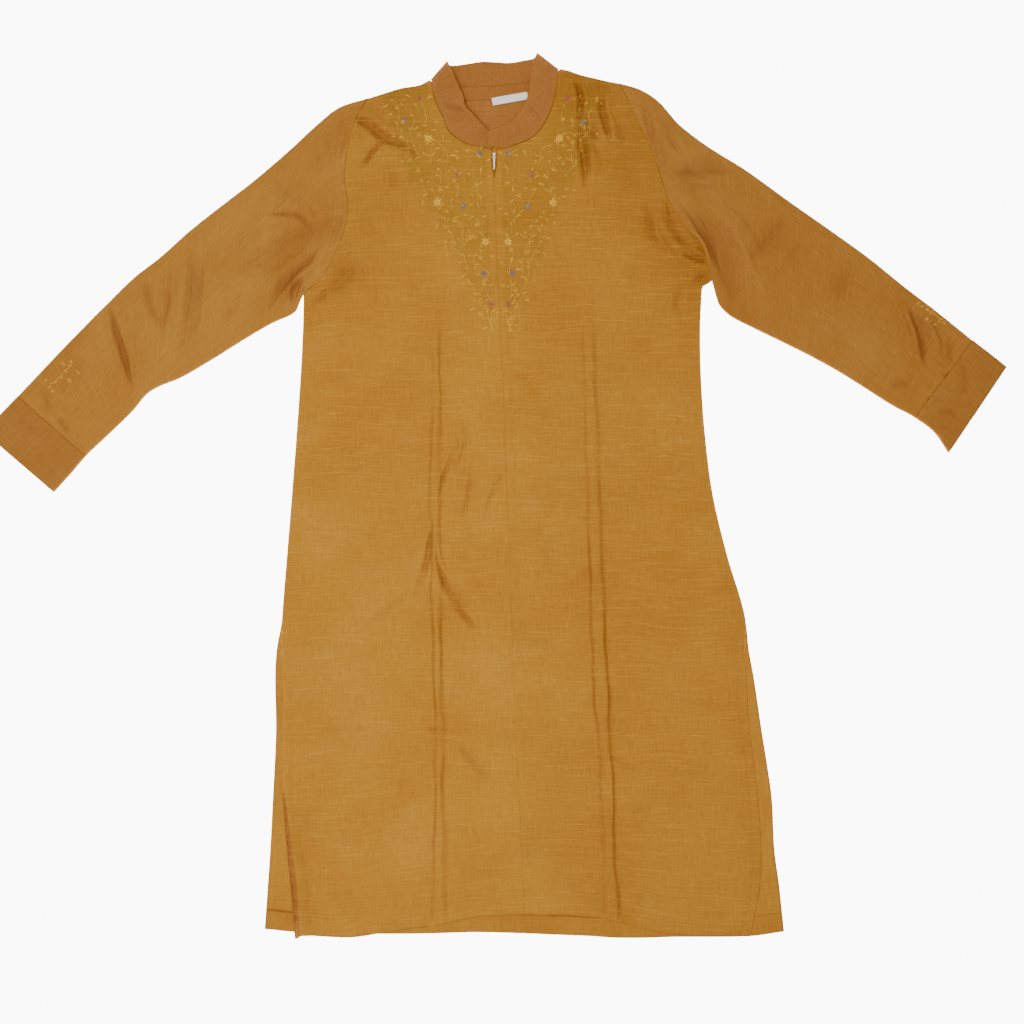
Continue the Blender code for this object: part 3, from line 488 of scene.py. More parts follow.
def clothMesh(name, points, uv, wall, tube=False, tint=None, seen=None, shade=0.0):
    rows, columns = points.shape[:2]
    index = np.arange(rows * columns).reshape(rows, columns)
    across = columns if tube else columns - 1
    a = index[:-1, :across]
    b = np.roll(index, -1, axis=1)[:-1, :across]
    c = np.roll(index, -1, axis=1)[1:, :across]
    d = index[1:, :across]
    faces = np.stack([a, b, c, d], -1).reshape(-1, 4)
    flat = points.reshape(-1, 3)
    top = points[rows // 2, columns // 6]
    beside = points[rows // 2, columns // 6 + 1]
    above = points[rows // 2 + 1, columns // 6]
    turnOver = np.cross(beside - top, above - top)[2] < 0
    if turnOver:
        faces = faces[:, ::-1]
    mesh = bpy.data.meshes.new(name)
    mesh.from_pydata((flat * mm).tolist(), [], faces.tolist())
    layer = mesh.uv_layers.new(name="cut")
    if tube:  # the last column's faces reach the full way round
        step = np.linalg.norm(points[:, -1] - points[:, 0], axis=-1)
        closing = np.stack([uv[:, -1, 0] + step, uv[:, 0, 1]], -1)
        uv = np.concatenate([uv, closing[:, None]], 1)
    wide = np.arange(rows * uv.shape[1]).reshape(rows, uv.shape[1])
    corners = np.stack([wide[:-1, :-1], wide[:-1, 1:], wide[1:, 1:], wide[1:, :-1]], -1).reshape(-1, 4)
    if turnOver:
        corners = corners[:, ::-1]
    places = uv.reshape(-1, 2)[corners.reshape(-1)]
    layer.data.foreach_set("uv", (places * mm).ravel())
    shaded = mesh.attributes.new("shade", "FLOAT", "POINT")
    shades = np.clip(shadeOf(points, seen or columns) + shade, 0, 1)
    shaded.data.foreach_set("value", shades.ravel().astype(np.float32))
    tinted = mesh.attributes.new("tint", "FLOAT", "POINT")
    if tint is not None:
        tinted.data.foreach_set("value", tint.ravel().astype(np.float32))
    mesh.shade_smooth()
    made = inScene(name, mesh)
    thickness = made.modifiers.new("wall", "SOLIDIFY")
    thickness.thickness = wall * mm
    thickness.offset = 0.0
    clothPieces[name] = made
    return made


def topOf(*names):
    # looks down on the made cloth, for what is sewn on it
    found = []
    graph = bpy.context.evaluated_depsgraph_get()
    for name in names:
        found.append(BVHTree.FromObject(clothPieces[name], graph))

    def look(x, y):
        best = None
        for tree in found:
            place, normal, _, _ = tree.ray_cast(Vector((x * mm, y * mm, 0.1)), Vector((0, 0, -1)))
            if place is not None and (best is None or place.z > best[0].z):
                best = (place, normal)
        return best

    return look


# the embroidered yoke: own sprays on both sides of the zip, in the way of such work

yoke = {
    # height, and half the width of the embroidered ground there
    "halfWidths": [(218, 3), (232, 17), (265, 29), (300, 44), (340, 60), (380, 84), (420, 103),
                   (450, 120), (490, 132), (520, 140)],
    # flowers: height, way out from the zip, colour
    "flowers": [
        (447, 18, "violet"), (381, 40, "violet"), (297, 18, "violet"), (487, 112, "violet"),
        (421, 46, "rose"), (260, 11, "rose"), (515, 92, "rose"),
        (386, 72, "cream"), (337, 14, "cream"), (466, 82, "cream"),
    ],
    "petals": {"violet": 6, "rose": 6, "cream": 8},
    "petalReach": {"violet": 5.0, "rose": 5.2, "cream": 5.8},
    # stems: points as (way out, height), each side alike
    "stems": [
        [(9, 224), (12, 240), (10, 258), (16, 278), (14, 300), (20, 322), (16, 342), (24, 366), (38, 380)],
        [(13, 226), (22, 246), (26, 268), (36, 288), (40, 312), (52, 332), (57, 356), (70, 372), (74, 390)],
        [(74, 388), (88, 402), (92, 424), (106, 438), (108, 462), (120, 478), (118, 500), (126, 512)],
        [(24, 366), (18, 388), (24, 406), (16, 426), (20, 446), (34, 452), (50, 446)],
        [(46, 420), (58, 408), (70, 398), (66, 424), (78, 436), (80, 464), (92, 476), (110, 486)],
        [(40, 382), (46, 400), (44, 420), (56, 434), (60, 452), (74, 462)],
        [(92, 476), (84, 492), (92, 512), (104, 518)],
        [(16, 342), (30, 346), (44, 338), (56, 342)],
        [(14, 258), (22, 272), (20, 286), (30, 300), (30, 318), (42, 340), (42, 356), (58, 372)],
        [(100, 428), (96, 448), (104, 470), (100, 492), (112, 506)],
    ],
    "leafEvery": 15, "leafLong": (4.5, 9),
    "strandEvery": 22, "strandLong": (8, 18),
    "tendrilEvery": 6.5, "tendrilLong": (6, 14),
    "stemStep": 2.2, "stemLong": 3.0,
    "sheaf": (11, 225), "sheafLong": (24, 34),
    "widths": {"olive": 0.7, "gold": 0.75, "cream": 0.85, "violet": 1.0, "rose": 0.95},
}


# fronts and back

front = {
    "wall": 0.8,
    "skirtRows": 226, "upperRows": 92,
    "seamHeight": 1.35,  # the middle of the wall where it is sewn to the back
    "slitHeight": 1.5,
    "bodyHeight": 3.6, "neckHeight": 5.0,
    "sideEase": 26,
    # the two long ridges from packing: height, left flank, right flank, how steep each flank is
    # from 0 to 1, and the share of the rise
    "ridges": {
        -1: [
            (-528, -99, -85, 0.5, 0.4, 1), (-440, -97, -84, 0.6, 0.3, 1), (-345, -95, -87, 0.8, 0.6, 1),
            (-270, -95, -86, 0.6, 0.4, 0.9), (-200, -97, -89, 0.9, 0.7, 1.1), (-100, -100, -89, 0.8, 0.5, 1),
            (-30, -100, -90, 0.7, 0.6, 1), (50, -102, -91, 0.8, 0.4, 0.9), (130, -98, -90, 0.5, 0.7, 0.85),
            (220, -100, -91, 0.2, 0.8, 0.65), (284, -102, -90, 0, 0, 0),
        ],
        1: [
            (-528, 111, 128, 0.5, 0.8, 1), (-490, 115, 134, 0.5, 0.6, 1), (-440, 115, 127, 0.2, 0.9, 1),
            (-360, 112, 127, 0.5, 0.9, 1), (-290, 109, 122, 0.6, 0.7, 1), (-230, 103, 120, 0.8, 1, 1.1),
            (-160, 100, 116, 0.8, 0.8, 1.1), (-60, 97, 112, 0.8, 0.6, 1), (10, 95, 109, 0.7, 0.5, 0.9),
            (110, 92, 106, 0.7, 0.5, 0.8), (210, 89, 101, 0.8, 0.5, 0.7), (284, 83, 100, 0, 0, 0),
        ],
    },
    # the ridges wander a little between those heights: wave lengths, and how far
    "wander": [(17, 0.7), (7.3, 0.35)], "steepWander": (26, 0.2),
    "ridgeRise": 2.5, "flank": (4.6, 12.0),
    "ridgeColumns": [-26, -20, -16.5, -14, -12.4, -11.2, -10.1, -9.1, -8.2, -7.3, -6.4, -5.5, -4.5, -3.4,
                     -2.2, -1.1, 0, 1.1, 2.2, 3.4, 4.5, 5.5, 6.4, 7.3, 8.2, 9.1, 10.1, 11.2, 12.4, 14,
                     16.5, 20, 26],
    "sideColumns": [0, 0.8, 1.8, 2.8, 3.8, 4.7, 5.5, 6.2, 6.9, 7.6, 8.3, 9.1, 10.2, 12, 14.5, 18, 22],
    "zipColumns": [18, 14, 11, 8.5, 6.5, 4.8, 3.4, 2.2, 1.2, 0.5, 0],
    "sideFill": 48, "centreFill": 24,
    "placket": 0.9, "placketReach": 13,
    "curl": 5.0, "curlFrom": -325, "curlFull": -440,
    "turned": [(-535, 5.6), (-512, 7.0), (-460, 8.4), (-420, 7.2), (-385, 5.2), (-356, 2.4), (-342, 0.0)],
}


def yokeGround(xy):
    # the embroidered ground looks greener: fine stems lie all over it
    table = np.array(yoke["halfWidths"], float)
    out = np.abs(xy[..., 0] - zipLine(np.minimum(xy[..., 1], neckHeight)))
    reach = curveAt(table[:, 0], table[:, 1], xy[..., 1]) + 5
    ragged = unevenness(xy, 21.0, 1.0, 22)
    inside = softStep((reach - out + 9 * ragged) / 14) * softStep((xy[..., 1] - table[0, 0]) / 18)
    beside = softStep((out - 7) / 5)
    return inside * mixed(0.25, 1.0, beside) * (0.75 + 0.35 * ragged)


def frontCloth(side):
    name = "front" + sideName(side)
    v = np.concatenate([
        np.linspace(0, 1, front["skirtRows"], endpoint=False),
        np.linspace(1, 2, front["upperRows"]),
    ])
    outer = outerEdge(side, "front", v)
    centre = centreEdge(side, v)
    width = np.linalg.norm(centre - outer, axis=1)
    ridges = np.array(front["ridges"][side], float)
    middle = curveAt(ridges[:, 0], (ridges[:, 1] + ridges[:, 2]) / 2, outer[:, 1])
    ridge = (middle - outer[:, 0]) * -side / width
    armpitRow = front["skirtRows"]
    ridge = np.where(v > 1, mixed(ridge[armpitRow], 0.66, softStep((v - 1) * 2)), ridge)
    shares = []
    for w, c in zip(width, ridge):
        sideColumns = np.array(front["sideColumns"]) / w
        cluster = c + np.array(front["ridgeColumns"]) / w
        zipColumns = 1 - np.array(front["zipColumns"]) / w
        shares.append(np.concatenate([
            sideColumns,
            np.linspace(sideColumns[-1], cluster[0], front["sideFill"] + 1, endpoint=False)[1:],
            cluster,
            np.linspace(cluster[-1], zipColumns[0], front["centreFill"] + 1, endpoint=False)[1:],
            zipColumns,
        ]))
    share = np.array(shares)
    curves = frontTop(side)
    top, ends = joined(curves, share)
    first = np.array(curves[0][0], float)
    last = np.array(curves[-1][-1], float)
    flat = outer[:, None] + (centre - outer)[:, None] * share[..., None]
    chord = first + (last - first) * share[..., None]
    takeUp = (softStep(v - 1) ** 1.5)[:, None, None]
    xy = flat + (top - chord) * takeUp
    uv = xy.copy()
    fade = softStep(1 - v / cut["hemFade"])[:, None]
    xy[..., 1] += hemShift("front", xy[..., 0]) * fade
    z, shade = frontHeight(side, name, xy, share, v[:, None], width[:, None], ends[1])
    uv[..., 1] += 7 * unevenness(xy, 31.0 + side, 1.0, 190) + 1.6 * unevenness(xy, 33.0, 1.0, 60)
    if side < 0:
        fromSide = share * width[:, None]
        crest = turnedUp(xy[..., 1])
        # painted shade on the flank of the left slit's turned-up edge
        shade = shade + softStep((crest - fromSide) / 0.9 + 0.5) * softStep(crest / 1.5)
        xy[..., 1] -= 5 * bump(fromSide, 9) * softStep(1 - v[:, None] * 30)
    points = np.concatenate([xy, z[..., None]], -1)
    return clothMesh(name, points, uv, front["wall"], tint=yokeGround(xy), shade=shade)


def turnedUp(y):
    # how wide the left slit's edge shows its turned side, down to the hem
    table = np.array(front["turned"], float)
    return curveAt(table[:, 0], table[:, 1], y)


def frontHeight(side, name, xy, share, v, width, corner):
    fromSide = share * width
    fromCentre = (1 - share) * width
    armhole = softStep((v - 1.0) / 0.1)
    slit = softStep((-168 - xy[..., 1]) / 30)
    low = mixed(mixed(front["seamHeight"], front["slitHeight"], slit), front["bodyHeight"] - 0.5, armhole)
    # the cloth rounds up from the side seam, quickly at first
    rounded = 0.34 * np.sqrt(np.clip(fromSide / 3.0, 0, 1)) + 0.66 * softStep(fromSide / front["sideEase"])
    z = mixed(low, front["bodyHeight"], rounded)
    ridges = np.array(front["ridges"][side], float)
    here = curveAt(ridges[:, 0], ridges[:, 1:], xy[..., 1])
    ridge = front["ridgeRise"] * here[..., 4] * (1 + 0.08 * np.sin(xy[..., 1] / 13.7))
    for turned, at, steep in ((-1, here[..., 0], here[..., 2]), (1, here[..., 1], here[..., 3])):
        for length, far in front["wander"]:
            at = at + far * np.sin(xy[..., 1] / length + turned + side)
        length, far = front["steepWander"]
        steep = np.clip(steep * (1 + far * np.sin(xy[..., 1] / length + 2 * turned)), 0, 1)
        wide = mixed(front["flank"][1], front["flank"][0], steep)
        ridge = ridge * softStep(turned * (at - xy[..., 0]) / wide + 0.5)
        z = z - 0.3 * steep * bump(turned * (xy[..., 0] - at) - 6, 5)
    z = z + ridge
    z = z + front["placket"] * bump(fromCentre, front["placketReach"]) * softStep(v * 14)
    # the folded edges over the zip, and the sewn seam below it
    zipped = softStep((xy[..., 1] - zipFront["bottom"]) / 10)
    seen = 0.08 + 0.5 * bump(xy[..., 1] - 30, 60)
    z = z - mixed(seen, 1.0, zipped) * bump(fromCentre, mixed(1.6, 2.6, zipped))
    z = z - 0.3 * bump(fromCentre - 11, 2.5) * softStep((xy[..., 1] + 20) / 30)
    folds, shade = creaseHeight(name, xy)
    z = z + folds
    z = z + unevenness(xy, 3.0 + side, 0.5, 85) * softStep(fromSide / 30) * softStep(fromCentre / 30)
    # the hem, doubled and stiffer, stands up a little over the back's
    hem = softStep(1 - v * 14)
    z = mixed(z, np.maximum(front["slitHeight"] + 0.6, z - 0.6) + 2.6 * bump(xy[..., 0] - 52, 110), hem)
    stitched = (v - 0.033) * 804
    z = z - 0.35 * bump(stitched, 2.2)
    # the slit's edge is doubled too, down to the tack
    slitSeam = 12 if side < 0 else 10
    z = z - 0.3 * bump(fromSide - slitSeam, 2.0) * slit
    if side < 0:
        curl = softStep((front["curlFrom"] - xy[..., 1]) / (front["curlFrom"] - front["curlFull"]))
        crest = np.maximum(turnedUp(xy[..., 1]), 1.5)
        rising = np.where(fromSide < crest, softStep(fromSide / crest), bump(fromSide - crest, 17))
        z = z + front["curl"] * curl * rising
    # the last rows come down to the shoulder seam, and stay up along the neck
    shoulder = softStep((corner - share) / 0.06 + 0.5)
    end = mixed(front["neckHeight"], front["seamHeight"] + 0.3, shoulder)
    z = mixed(z, end, softStep((v - 1.86) / 0.14))
    # painted shade: the right half is painted darker, where less light falls, and so is the cloth beside each
    # armhole
    shade = shade + 0.15 * softStep((xy[..., 0] + 30) / 110)
    shade = shade + 0.28 * softStep((v - 0.85) / 0.3) * softStep(1 - fromSide / 150)
    # the right front lies lower beside the sleeve's overlap
    if side > 0:
        away = np.linalg.norm(xy - np.array([222, 345]), axis=-1)
        z = z - 1.3 * bump(fromSide, 13) * bump(away, 62) * softStep((v - 1) / 0.05)
    return np.maximum(z, front["seamHeight"] - 0.1), shade


back = {"wall": 0.8, "height": 0.5, "rows": 150, "columns": 96, "hemRows": 44, "hemUp": 24.5}


def backCloth():
    v = np.concatenate([
        np.linspace(0, 0.06, back["hemRows"], endpoint=False),
        np.linspace(0.06, 1, back["rows"] * 3 // 4, endpoint=False),
        np.linspace(1, 2, back["rows"] // 3),
    ])
    curves = backTop()
    _, ends = joined(curves, np.zeros(1))
    spans = [round(back["columns"] * (b - a)) for a, b in zip(ends, ends[1:])]
    share = np.concatenate([
        np.linspace(a, b, n, endpoint=False) for a, b, n in zip(ends, ends[1:], spans)
    ] + [[1.0]])
    share = np.sort(np.concatenate([share, [0.006, 0.012, 0.02, 0.98, 0.988, 0.994]]))
    share = np.broadcast_to(share, (len(v), len(share)))
    left = outerEdge(-1, "back", v)
    right = outerEdge(1, "back", v)
    top, _ = joined(curves, share)
    first = np.array(curves[0][0], float)
    last = np.array(curves[-1][-1], float)
    flat = left[:, None] + (right - left)[:, None] * share[..., None]
    chord = first + (last - first) * share[..., None]
    xy = flat + (top - chord) * (softStep(v - 1) ** 1.5)[:, None, None]
    uv = xy.copy() + 700
    xy[..., 1] += hemShift("back", xy[..., 0]) * softStep(1 - v / cut["hemFade"])[:, None]
    z = np.full(share.shape, back["height"])
    # the strips that show beside the slits and under the front's hem lie a little uneven
    z = z + 0.25 * np.abs(unevenness(xy, 7.0, 1.0, 60)) * softStep((-160 - xy[..., 1]) / 60)
    hemLine = xy[..., 1] - hemShift("back", xy[..., 0]) - cut["levels"][0][0] - back["hemUp"]
    z = z + 0.35 * softStep((-hemLine) / 3)
    rightPart = softStep((xy[..., 0] - 230) / 60)
    # painted shade along the back's turned hem: a dark line at its fold, partly the real fold and stitching,
    # partly painted shadow under the front's hem; weaker on the right strip, and the doubled hem below painted
    # a little darker
    shade = bump(hemLine, 2.6) * (1 - 0.75 * rightPart) + 0.12 * softStep(-hemLine / 2)
    # painted shade inside the neck, where the collar shades the back
    neckShade = softStep((xy[..., 1] - 455) / 12) * softStep((75 - np.abs(xy[..., 0] + 22)) / 14)
    points = np.concatenate([xy, z[..., None]], -1)
    return clothMesh("back", points, uv, back["wall"], tint=neckShade, shade=shade)


# sleeves and cuffs

sleeves = {
    "wall": 0.8, "fold": 1.5, "spread": 0.16, "swell": 0.7, "leastSpace": 2.0,
    "seamGap": 0.03,
    "step": 2.3,
    "topColumns": 104, "underColumns": 26, "turnColumns": 6,
    # upper edge, lower edge, rise of the top layer, 0 along the armhole to 1 straight across
    -1: [
        (-181, 516, -260, 276, 0.4, 0), (-215, 505, -265, 263, 1.2, 0.38),
        (-240, 486, -272, 249, 1.8, 0.65), (-278, 451, -301, 235, 1.2, 1),
        (-320, 415, -335, 215, 1.8, 1), (-364, 381, -375, 190, 1.0, 1),
        (-403, 350, -413, 168, 1.7, 1), (-440, 317, -440, 157, 1.2, 1),
        (-471, 293, -456, 147, 1.6, 1), (-504, 261, -473, 127, 1.5, 1),
        (-530, 235, -491, 109, 1.4, 1), (-565, 199, -510, 91, 1.0, 1),
        (-617, 144, -532, 70, 0.6, 1), (-638, 122, -552, 47, 0.4, 1), (-659, 100, -572, 25, 0.6, 1),
    ],
    1: [
        (134, 535, 250, 289, 0.6, 0), (160, 527, 252.5, 279, 1.4, 0.3),
        (183, 512, 255.5, 268, 1.8, 0.5), (208, 484, 260, 257, 1.4, 0.75),
        (243, 457, 274, 244, 1.2, 1), (291, 427, 301, 230, 1.8, 1),
        (348, 386, 338, 212, 0.8, 1), (398, 351, 374, 194, 1.7, 1),
        (445, 317, 410, 174, 1.4, 1), (491, 280, 445, 152, 0.6, 1),
        (529, 251, 475, 133, 1.6, 1), (575, 214, 503, 118, 0.8, 1),
        (597, 197, 527, 100, 0.4, 1), (617, 181, 545, 74, 0.8, 1),
    ],
    "cuffRows": 3,
    "cuffWall": 1.5, "cuffFold": 1.7,
}


def sleeveTube(side, name, first, last, fold, wall, startShift):
    table = np.array(sleeves[side], float)
    armhole = np.array(cut["armhole"][side], float)[::-1]
    direction = np.gradient(armhole, axis=0)
    sideways = np.stack([direction[:, 1], -direction[:, 0]], -1) * -side
    sideways /= np.linalg.norm(sideways, axis=1)[:, None]
    seam = armhole + sideways * sleeves["seamGap"]
    table[0, :4] = np.concatenate([seam[0], seam[-1]])
    middles = (table[:, 0:2] + table[:, 2:4]) / 2
    keys = lengthsOf(middles)
    start = keys[first] + startShift
    rows = int((keys[last] - start) / sleeves["step"])
    near = np.array([0, 0.8, 1.8, 3.0])
    stations = np.concatenate([start + near, np.linspace(start + 5, keys[last] - 1.5, rows), [keys[last]]])
    rings = curveAt(keys, table, stations)
    straight = np.clip(rings[:, 5], 0, 1)
    upper, lower = rings[:, None, 0:2], rings[:, None, 2:4]
    across = np.linalg.norm(rings[:, 2:4] - rings[:, 0:2], axis=1)
    inset = (fold / across)[:, None]
    top, under, turn = sleeves["topColumns"], sleeves["underColumns"], sleeves["turnColumns"]
    part = np.linspace(0, 1, top + 1)
    angle = math.pi * np.arange(1, turn) / turn
    share = np.concatenate([
        inset + (1 - 2 * inset) * part,
        1 - inset * (1 - np.sin(angle)),
        (1 - inset) - (1 - 2 * inset) * np.linspace(0, 1, under + 1),
        inset * (1 - np.sin(angle)),
    ], 1)
    spread = (share - sleeves["spread"] * np.sin(math.pi * share**3))[..., None]
    line = next(row for row in table if row[5] >= 1)
    shareV = share[..., None]
    t = straight[:, None, None]
    xyStraight = mixed(upper, lower, spread)
    base = mixed(along(seam, share), mixed(line[0:2], line[2:4], spread), t)
    pullUp = rings[:, None, 0:2] - mixed(seam[0], line[0:2], t)
    pullLow = rings[:, None, 2:4] - mixed(seam[-1], line[2:4], t)
    xyCurved = base + pullUp * (1 - shareV) ** 3 + pullLow * shareV**6
    xy = np.where(t >= 0.999, xyStraight, xyCurved)
    # heights round the section
    mid = wall / 2 + 0.1
    swell = np.clip(np.sin(math.pi * part), 0, 1) ** sleeves["swell"]
    topXY = xy[:, : top + 1]
    rise = rings[:, 4:5] * swell
    folds, foldShades = creaseHeight(name, topXY)
    rise = rise + folds * np.minimum(3 * swell, 1)
    rise = rise + unevenness(topXY, 5.0 + side, 0.55, 62) * swell
    fromStart = (stations - start)[:, None]
    rollsOver = first == 0 and side > 0  # the right sleeve, over its armhole seam
    if first == 0:
        rise = rise - (0.7 if side > 0 else 0.25) * bump(fromStart, 4.5)
    else:
        rise = rise - 0.2 * bump(fromStart, 3.0)
    if rollsOver:
        rolled = bump(part - 0.76, 0.3)[None, :] * bump(fromStart, 16)
        rise = rise + 1.5 * rolled
    topZ = mid + np.maximum(2 * fold + rise, sleeves["leastSpace"])
    lastTop = topZ[:, -1:]
    firstTop = topZ[:, :1]
    turnLow = mid + (lastTop - mid) * (0.5 + 0.5 * np.cos(angle))
    turnHigh = mid + (firstTop - mid) * (0.5 - 0.5 * np.cos(angle))
    underZ = np.full((len(stations), under + 1), mid)
    z = np.concatenate([topZ, turnLow, underZ, turnHigh], 1)
    if rollsOver:
        roll = (bump(share - 0.78, 0.26) * bump(fromStart, 5))[..., None]
        isTop = (np.arange(share.shape[1]) <= top)[None, :, None]
        xy = xy - np.array([2.2, 1.3]) * roll * isTop
    round_ = np.linalg.norm(np.diff(xy, axis=1, append=xy[:, :1]), axis=-1)
    u = np.concatenate([np.zeros((len(stations), 1)), np.cumsum(round_, axis=1)[:, :-1]], 1)
    uv = np.stack([u + 90 * side, np.broadcast_to(stations[:, None], u.shape) * side + 1300], -1)
    shade = np.zeros(z.shape)
    shade[:, : top + 1] = foldShades
    points = np.concatenate([xy, z[..., None]], -1)
    return clothMesh(name, points, uv, wall, tube=True, seen=top + 1, shade=shade)


# collar band

def collarCloth():
    stands = np.array(collar["stands"], float)
    keys = np.arange(len(stands))
    at = np.linspace(0, len(stands) - 1, (len(stands) - 1) * 9 + 1)
    rows = curveAt(keys, stands, at)
    share = np.array([0, 0.02, 0.05, 0.1, 0.2, 0.32, 0.45, 0.58, 0.7, 0.82, 0.9, 0.95, 0.98, 1.0])
    low, high = rows[:, None, 0:3], rows[:, None, 3:6]
    points = low + (high - low) * share[None, :, None]
    points[..., 2] += 0.05 * (rows[:, 5] - rows[:, 2])[:, None] * np.sin(math.pi * share)
    xy = points[..., :2]
    folds, shade = creaseHeight("collar", xy)
    relief = folds + unevenness(xy, 11.0, 0.35, 30)
    onFront = softStep((rows[:, 2] - 3.6) / 1.2)[:, None]
    edge = bump(share - 1.0, 0.12) + bump(share, 0.1)
    points[..., 2] += relief * onFront * (1 - edge[None, :])
    points[..., 2] = np.maximum(points[..., 2], collar["wall"] / 2 + 0.1)
    length = lengthsOf(rows[:, 0:3])
    uv = np.stack([
        np.broadcast_to(share * 31, points.shape[:2]) + 2100,
        np.broadcast_to(length[:, None], points.shape[:2]),
    ], -1)[..., ::-1]
    return clothMesh("collar", points, uv, collar["wall"], shade=shade)


handCreases["collar"] = [
    ([(-89, 509), (-70, 501), (-49, 495)], 6, -1.0, 0.0),
    ([(-84, 484), (-66, 480), (-52, 486)], 5, 0.7, 0.0),
    ([(40, 490), (28, 500), (18, 512)], 6, -0.7, 0.0),
    ([(12, 470), (6, 482), (4, 492)], 6, 0.6, 0.0),
]

for side in (-1, 1):
    frontCloth(side)
    last = len(sleeves[side]) - 1
    sleeveTube(side, "sleeve" + sideName(side), 0, last - sleeves["cuffRows"] + 1,
               sleeves["fold"], sleeves["wall"], 0.0)
    sleeveTube(side, "cuff" + sideName(side), last - sleeves["cuffRows"] + 1, last,
               sleeves["cuffFold"], sleeves["cuffWall"], 0.02)
backCloth()
collarCloth()
print("cloth:", {name: len(piece.data.polygons) for name, piece in clothPieces.items()})


# neck tape, label and zip

strips = {
    "tapeUpper": [(-80, 531), (36, 539)], "tapeLower": [(-74, 514), (32, 523)],
    "tapeHeight": 2.7, "tapeSag": 3.0, "tapeLift": 0.9,
    "labelCentre": (-2.5, 515.5), "labelSize": (45, 9.5), "labelTilt": 10, "labelHeight": 4.4,
    "zipWidth": 12, "zipHeight": 2.1, "wall": 0.6,
}


def neckTape():
    share = np.linspace(0, 1, 49)
    across = np.linspace(0, 1, 9)
    upper = mixed(*[np.array(point, float) for point in strips["tapeUpper"]], share[:, None])
    lower = mixed(*[np.array(point, float) for point in strips["tapeLower"]], share[:, None])
    xy = mixed(lower[:, None], upper[:, None], across[None, :, None])
    xy[..., 1] -= strips["tapeSag"] * np.sin(math.pi * share)[:, None]
    z = strips["tapeHeight"] + 0.25 * np.sin(share * 23)[:, None] * (across - 0.5) ** 2 * 4
    z = z + 0.1 * np.sin(share * 9 + 1)[:, None] + strips["tapeLift"] * (1 - across) ** 2
    uv = np.stack(np.broadcast_arrays(share[:, None] * 117, across * 17), -1)
    return clothMesh("neckTape", np.concatenate([xy, z[..., None]], -1), uv + 2600, strips["wall"])


def neckLabel():
    long, wide = strips["labelSize"]
    tilt = math.radians(strips["labelTilt"])
    s = np.linspace(-0.5, 0.5, 37)[:, None]
    t = np.linspace(-0.5, 0.5, 9)[None, :]
    x = strips["labelCentre"][0] + long * s * math.cos(tilt) - wide * t * math.sin(tilt)
    y = strips["labelCentre"][1] + long * s * math.sin(tilt) + wide * t * math.cos(tilt)
    z = strips["labelHeight"] + 0.12 * np.cos(s * 6) + 0 * t
    uv = np.stack([s * long + 0 * t, t * wide + 0 * s], -1)
    return clothMesh("neckLabel", np.stack([x, y, z], -1), uv + 2900, strips["wall"])


def zipTape(side):
    y = np.linspace(zipFront["bottom"], zipFront["top"], 120)
    inner = zipLine(y) + side * 0.35
    t = np.linspace(0, 1, 7)
    x = inner[:, None] + side * strips["zipWidth"] * t
    points = np.stack(np.broadcast_arrays(x, y[:, None], strips["zipHeight"]), -1)
    uv = np.stack(np.broadcast_arrays(t * 12 + 3000 + 20 * side, y[:, None]), -1)
    return clothMesh("zipTape" + sideName(side), points, uv, strips["wall"])


neckTape()
neckLabel()
for side in (-1, 1):
    zipTape(side)
print("strips sewn in")


# finishes

class Shade:
    # a socket in a material, so that sums on it read as sums
    def __init__(self, tree, socket=None):
        self.tree = tree
        self.socket = socket

    def node(self, kind, settings=None, values=None, output=0):
        made = self.tree.nodes.new("ShaderNode" + kind)
        for name, value in (settings or {}).items():
            if name == "stops":
                ramp = made.color_ramp
                while len(ramp.elements) < len(value):
                    ramp.elements.new(0.5)
                for element, (place, shade) in zip(ramp.elements, value):
                    element.position = place
                    element.color = (*([shade] * 3 if isinstance(shade, (int, float)) else shade), 1)
            else:
                setattr(made, name, value)
        for name, value in (values or {}).items():
            self.put(made.inputs[name], value)
        return Shade(self.tree, made.outputs[output])

    def put(self, socket, value):
        if isinstance(value, Shade):
            self.tree.links.new(value.socket, socket)
        elif isinstance(value, tuple) and len(value) == 3 and len(socket.default_value) == 4:
            socket.default_value = (*value, 1)
        else:
            socket.default_value = value

    def give(self, shader, values):
        for name, value in values.items():
            self.put(shader.inputs[name], value)

    def sum(self, operation, a, b):
        return self.node("Math", {"operation": operation}, {0: a, 1: b})

    def __add__(self, other):
        return self.sum("ADD", self, other)

    def __radd__(self, other):
        return self.sum("ADD", other, self)

    def __sub__(self, other):
        return self.sum("SUBTRACT", self, other)

    def __rsub__(self, other):
        return self.sum("SUBTRACT", other, self)

    def __mul__(self, other):
        return self.sum("MULTIPLY", self, other)

    def __rmul__(self, other):
        return self.sum("MULTIPLY", other, self)

    def blendedWith(self, other, factor, blend="MIX"):
        settings = {"data_type": "RGBA", "blend_type": blend}
        return self.node("Mix", settings, {0: factor, 6: self, 7: other}, 2)


def newFinish(name):
    material = bpy.data.materials.new(name)
    material.use_nodes = True
    tree = material.node_tree
    shader = tree.nodes["Principled BSDF"]
    return material, Shade(tree), shader


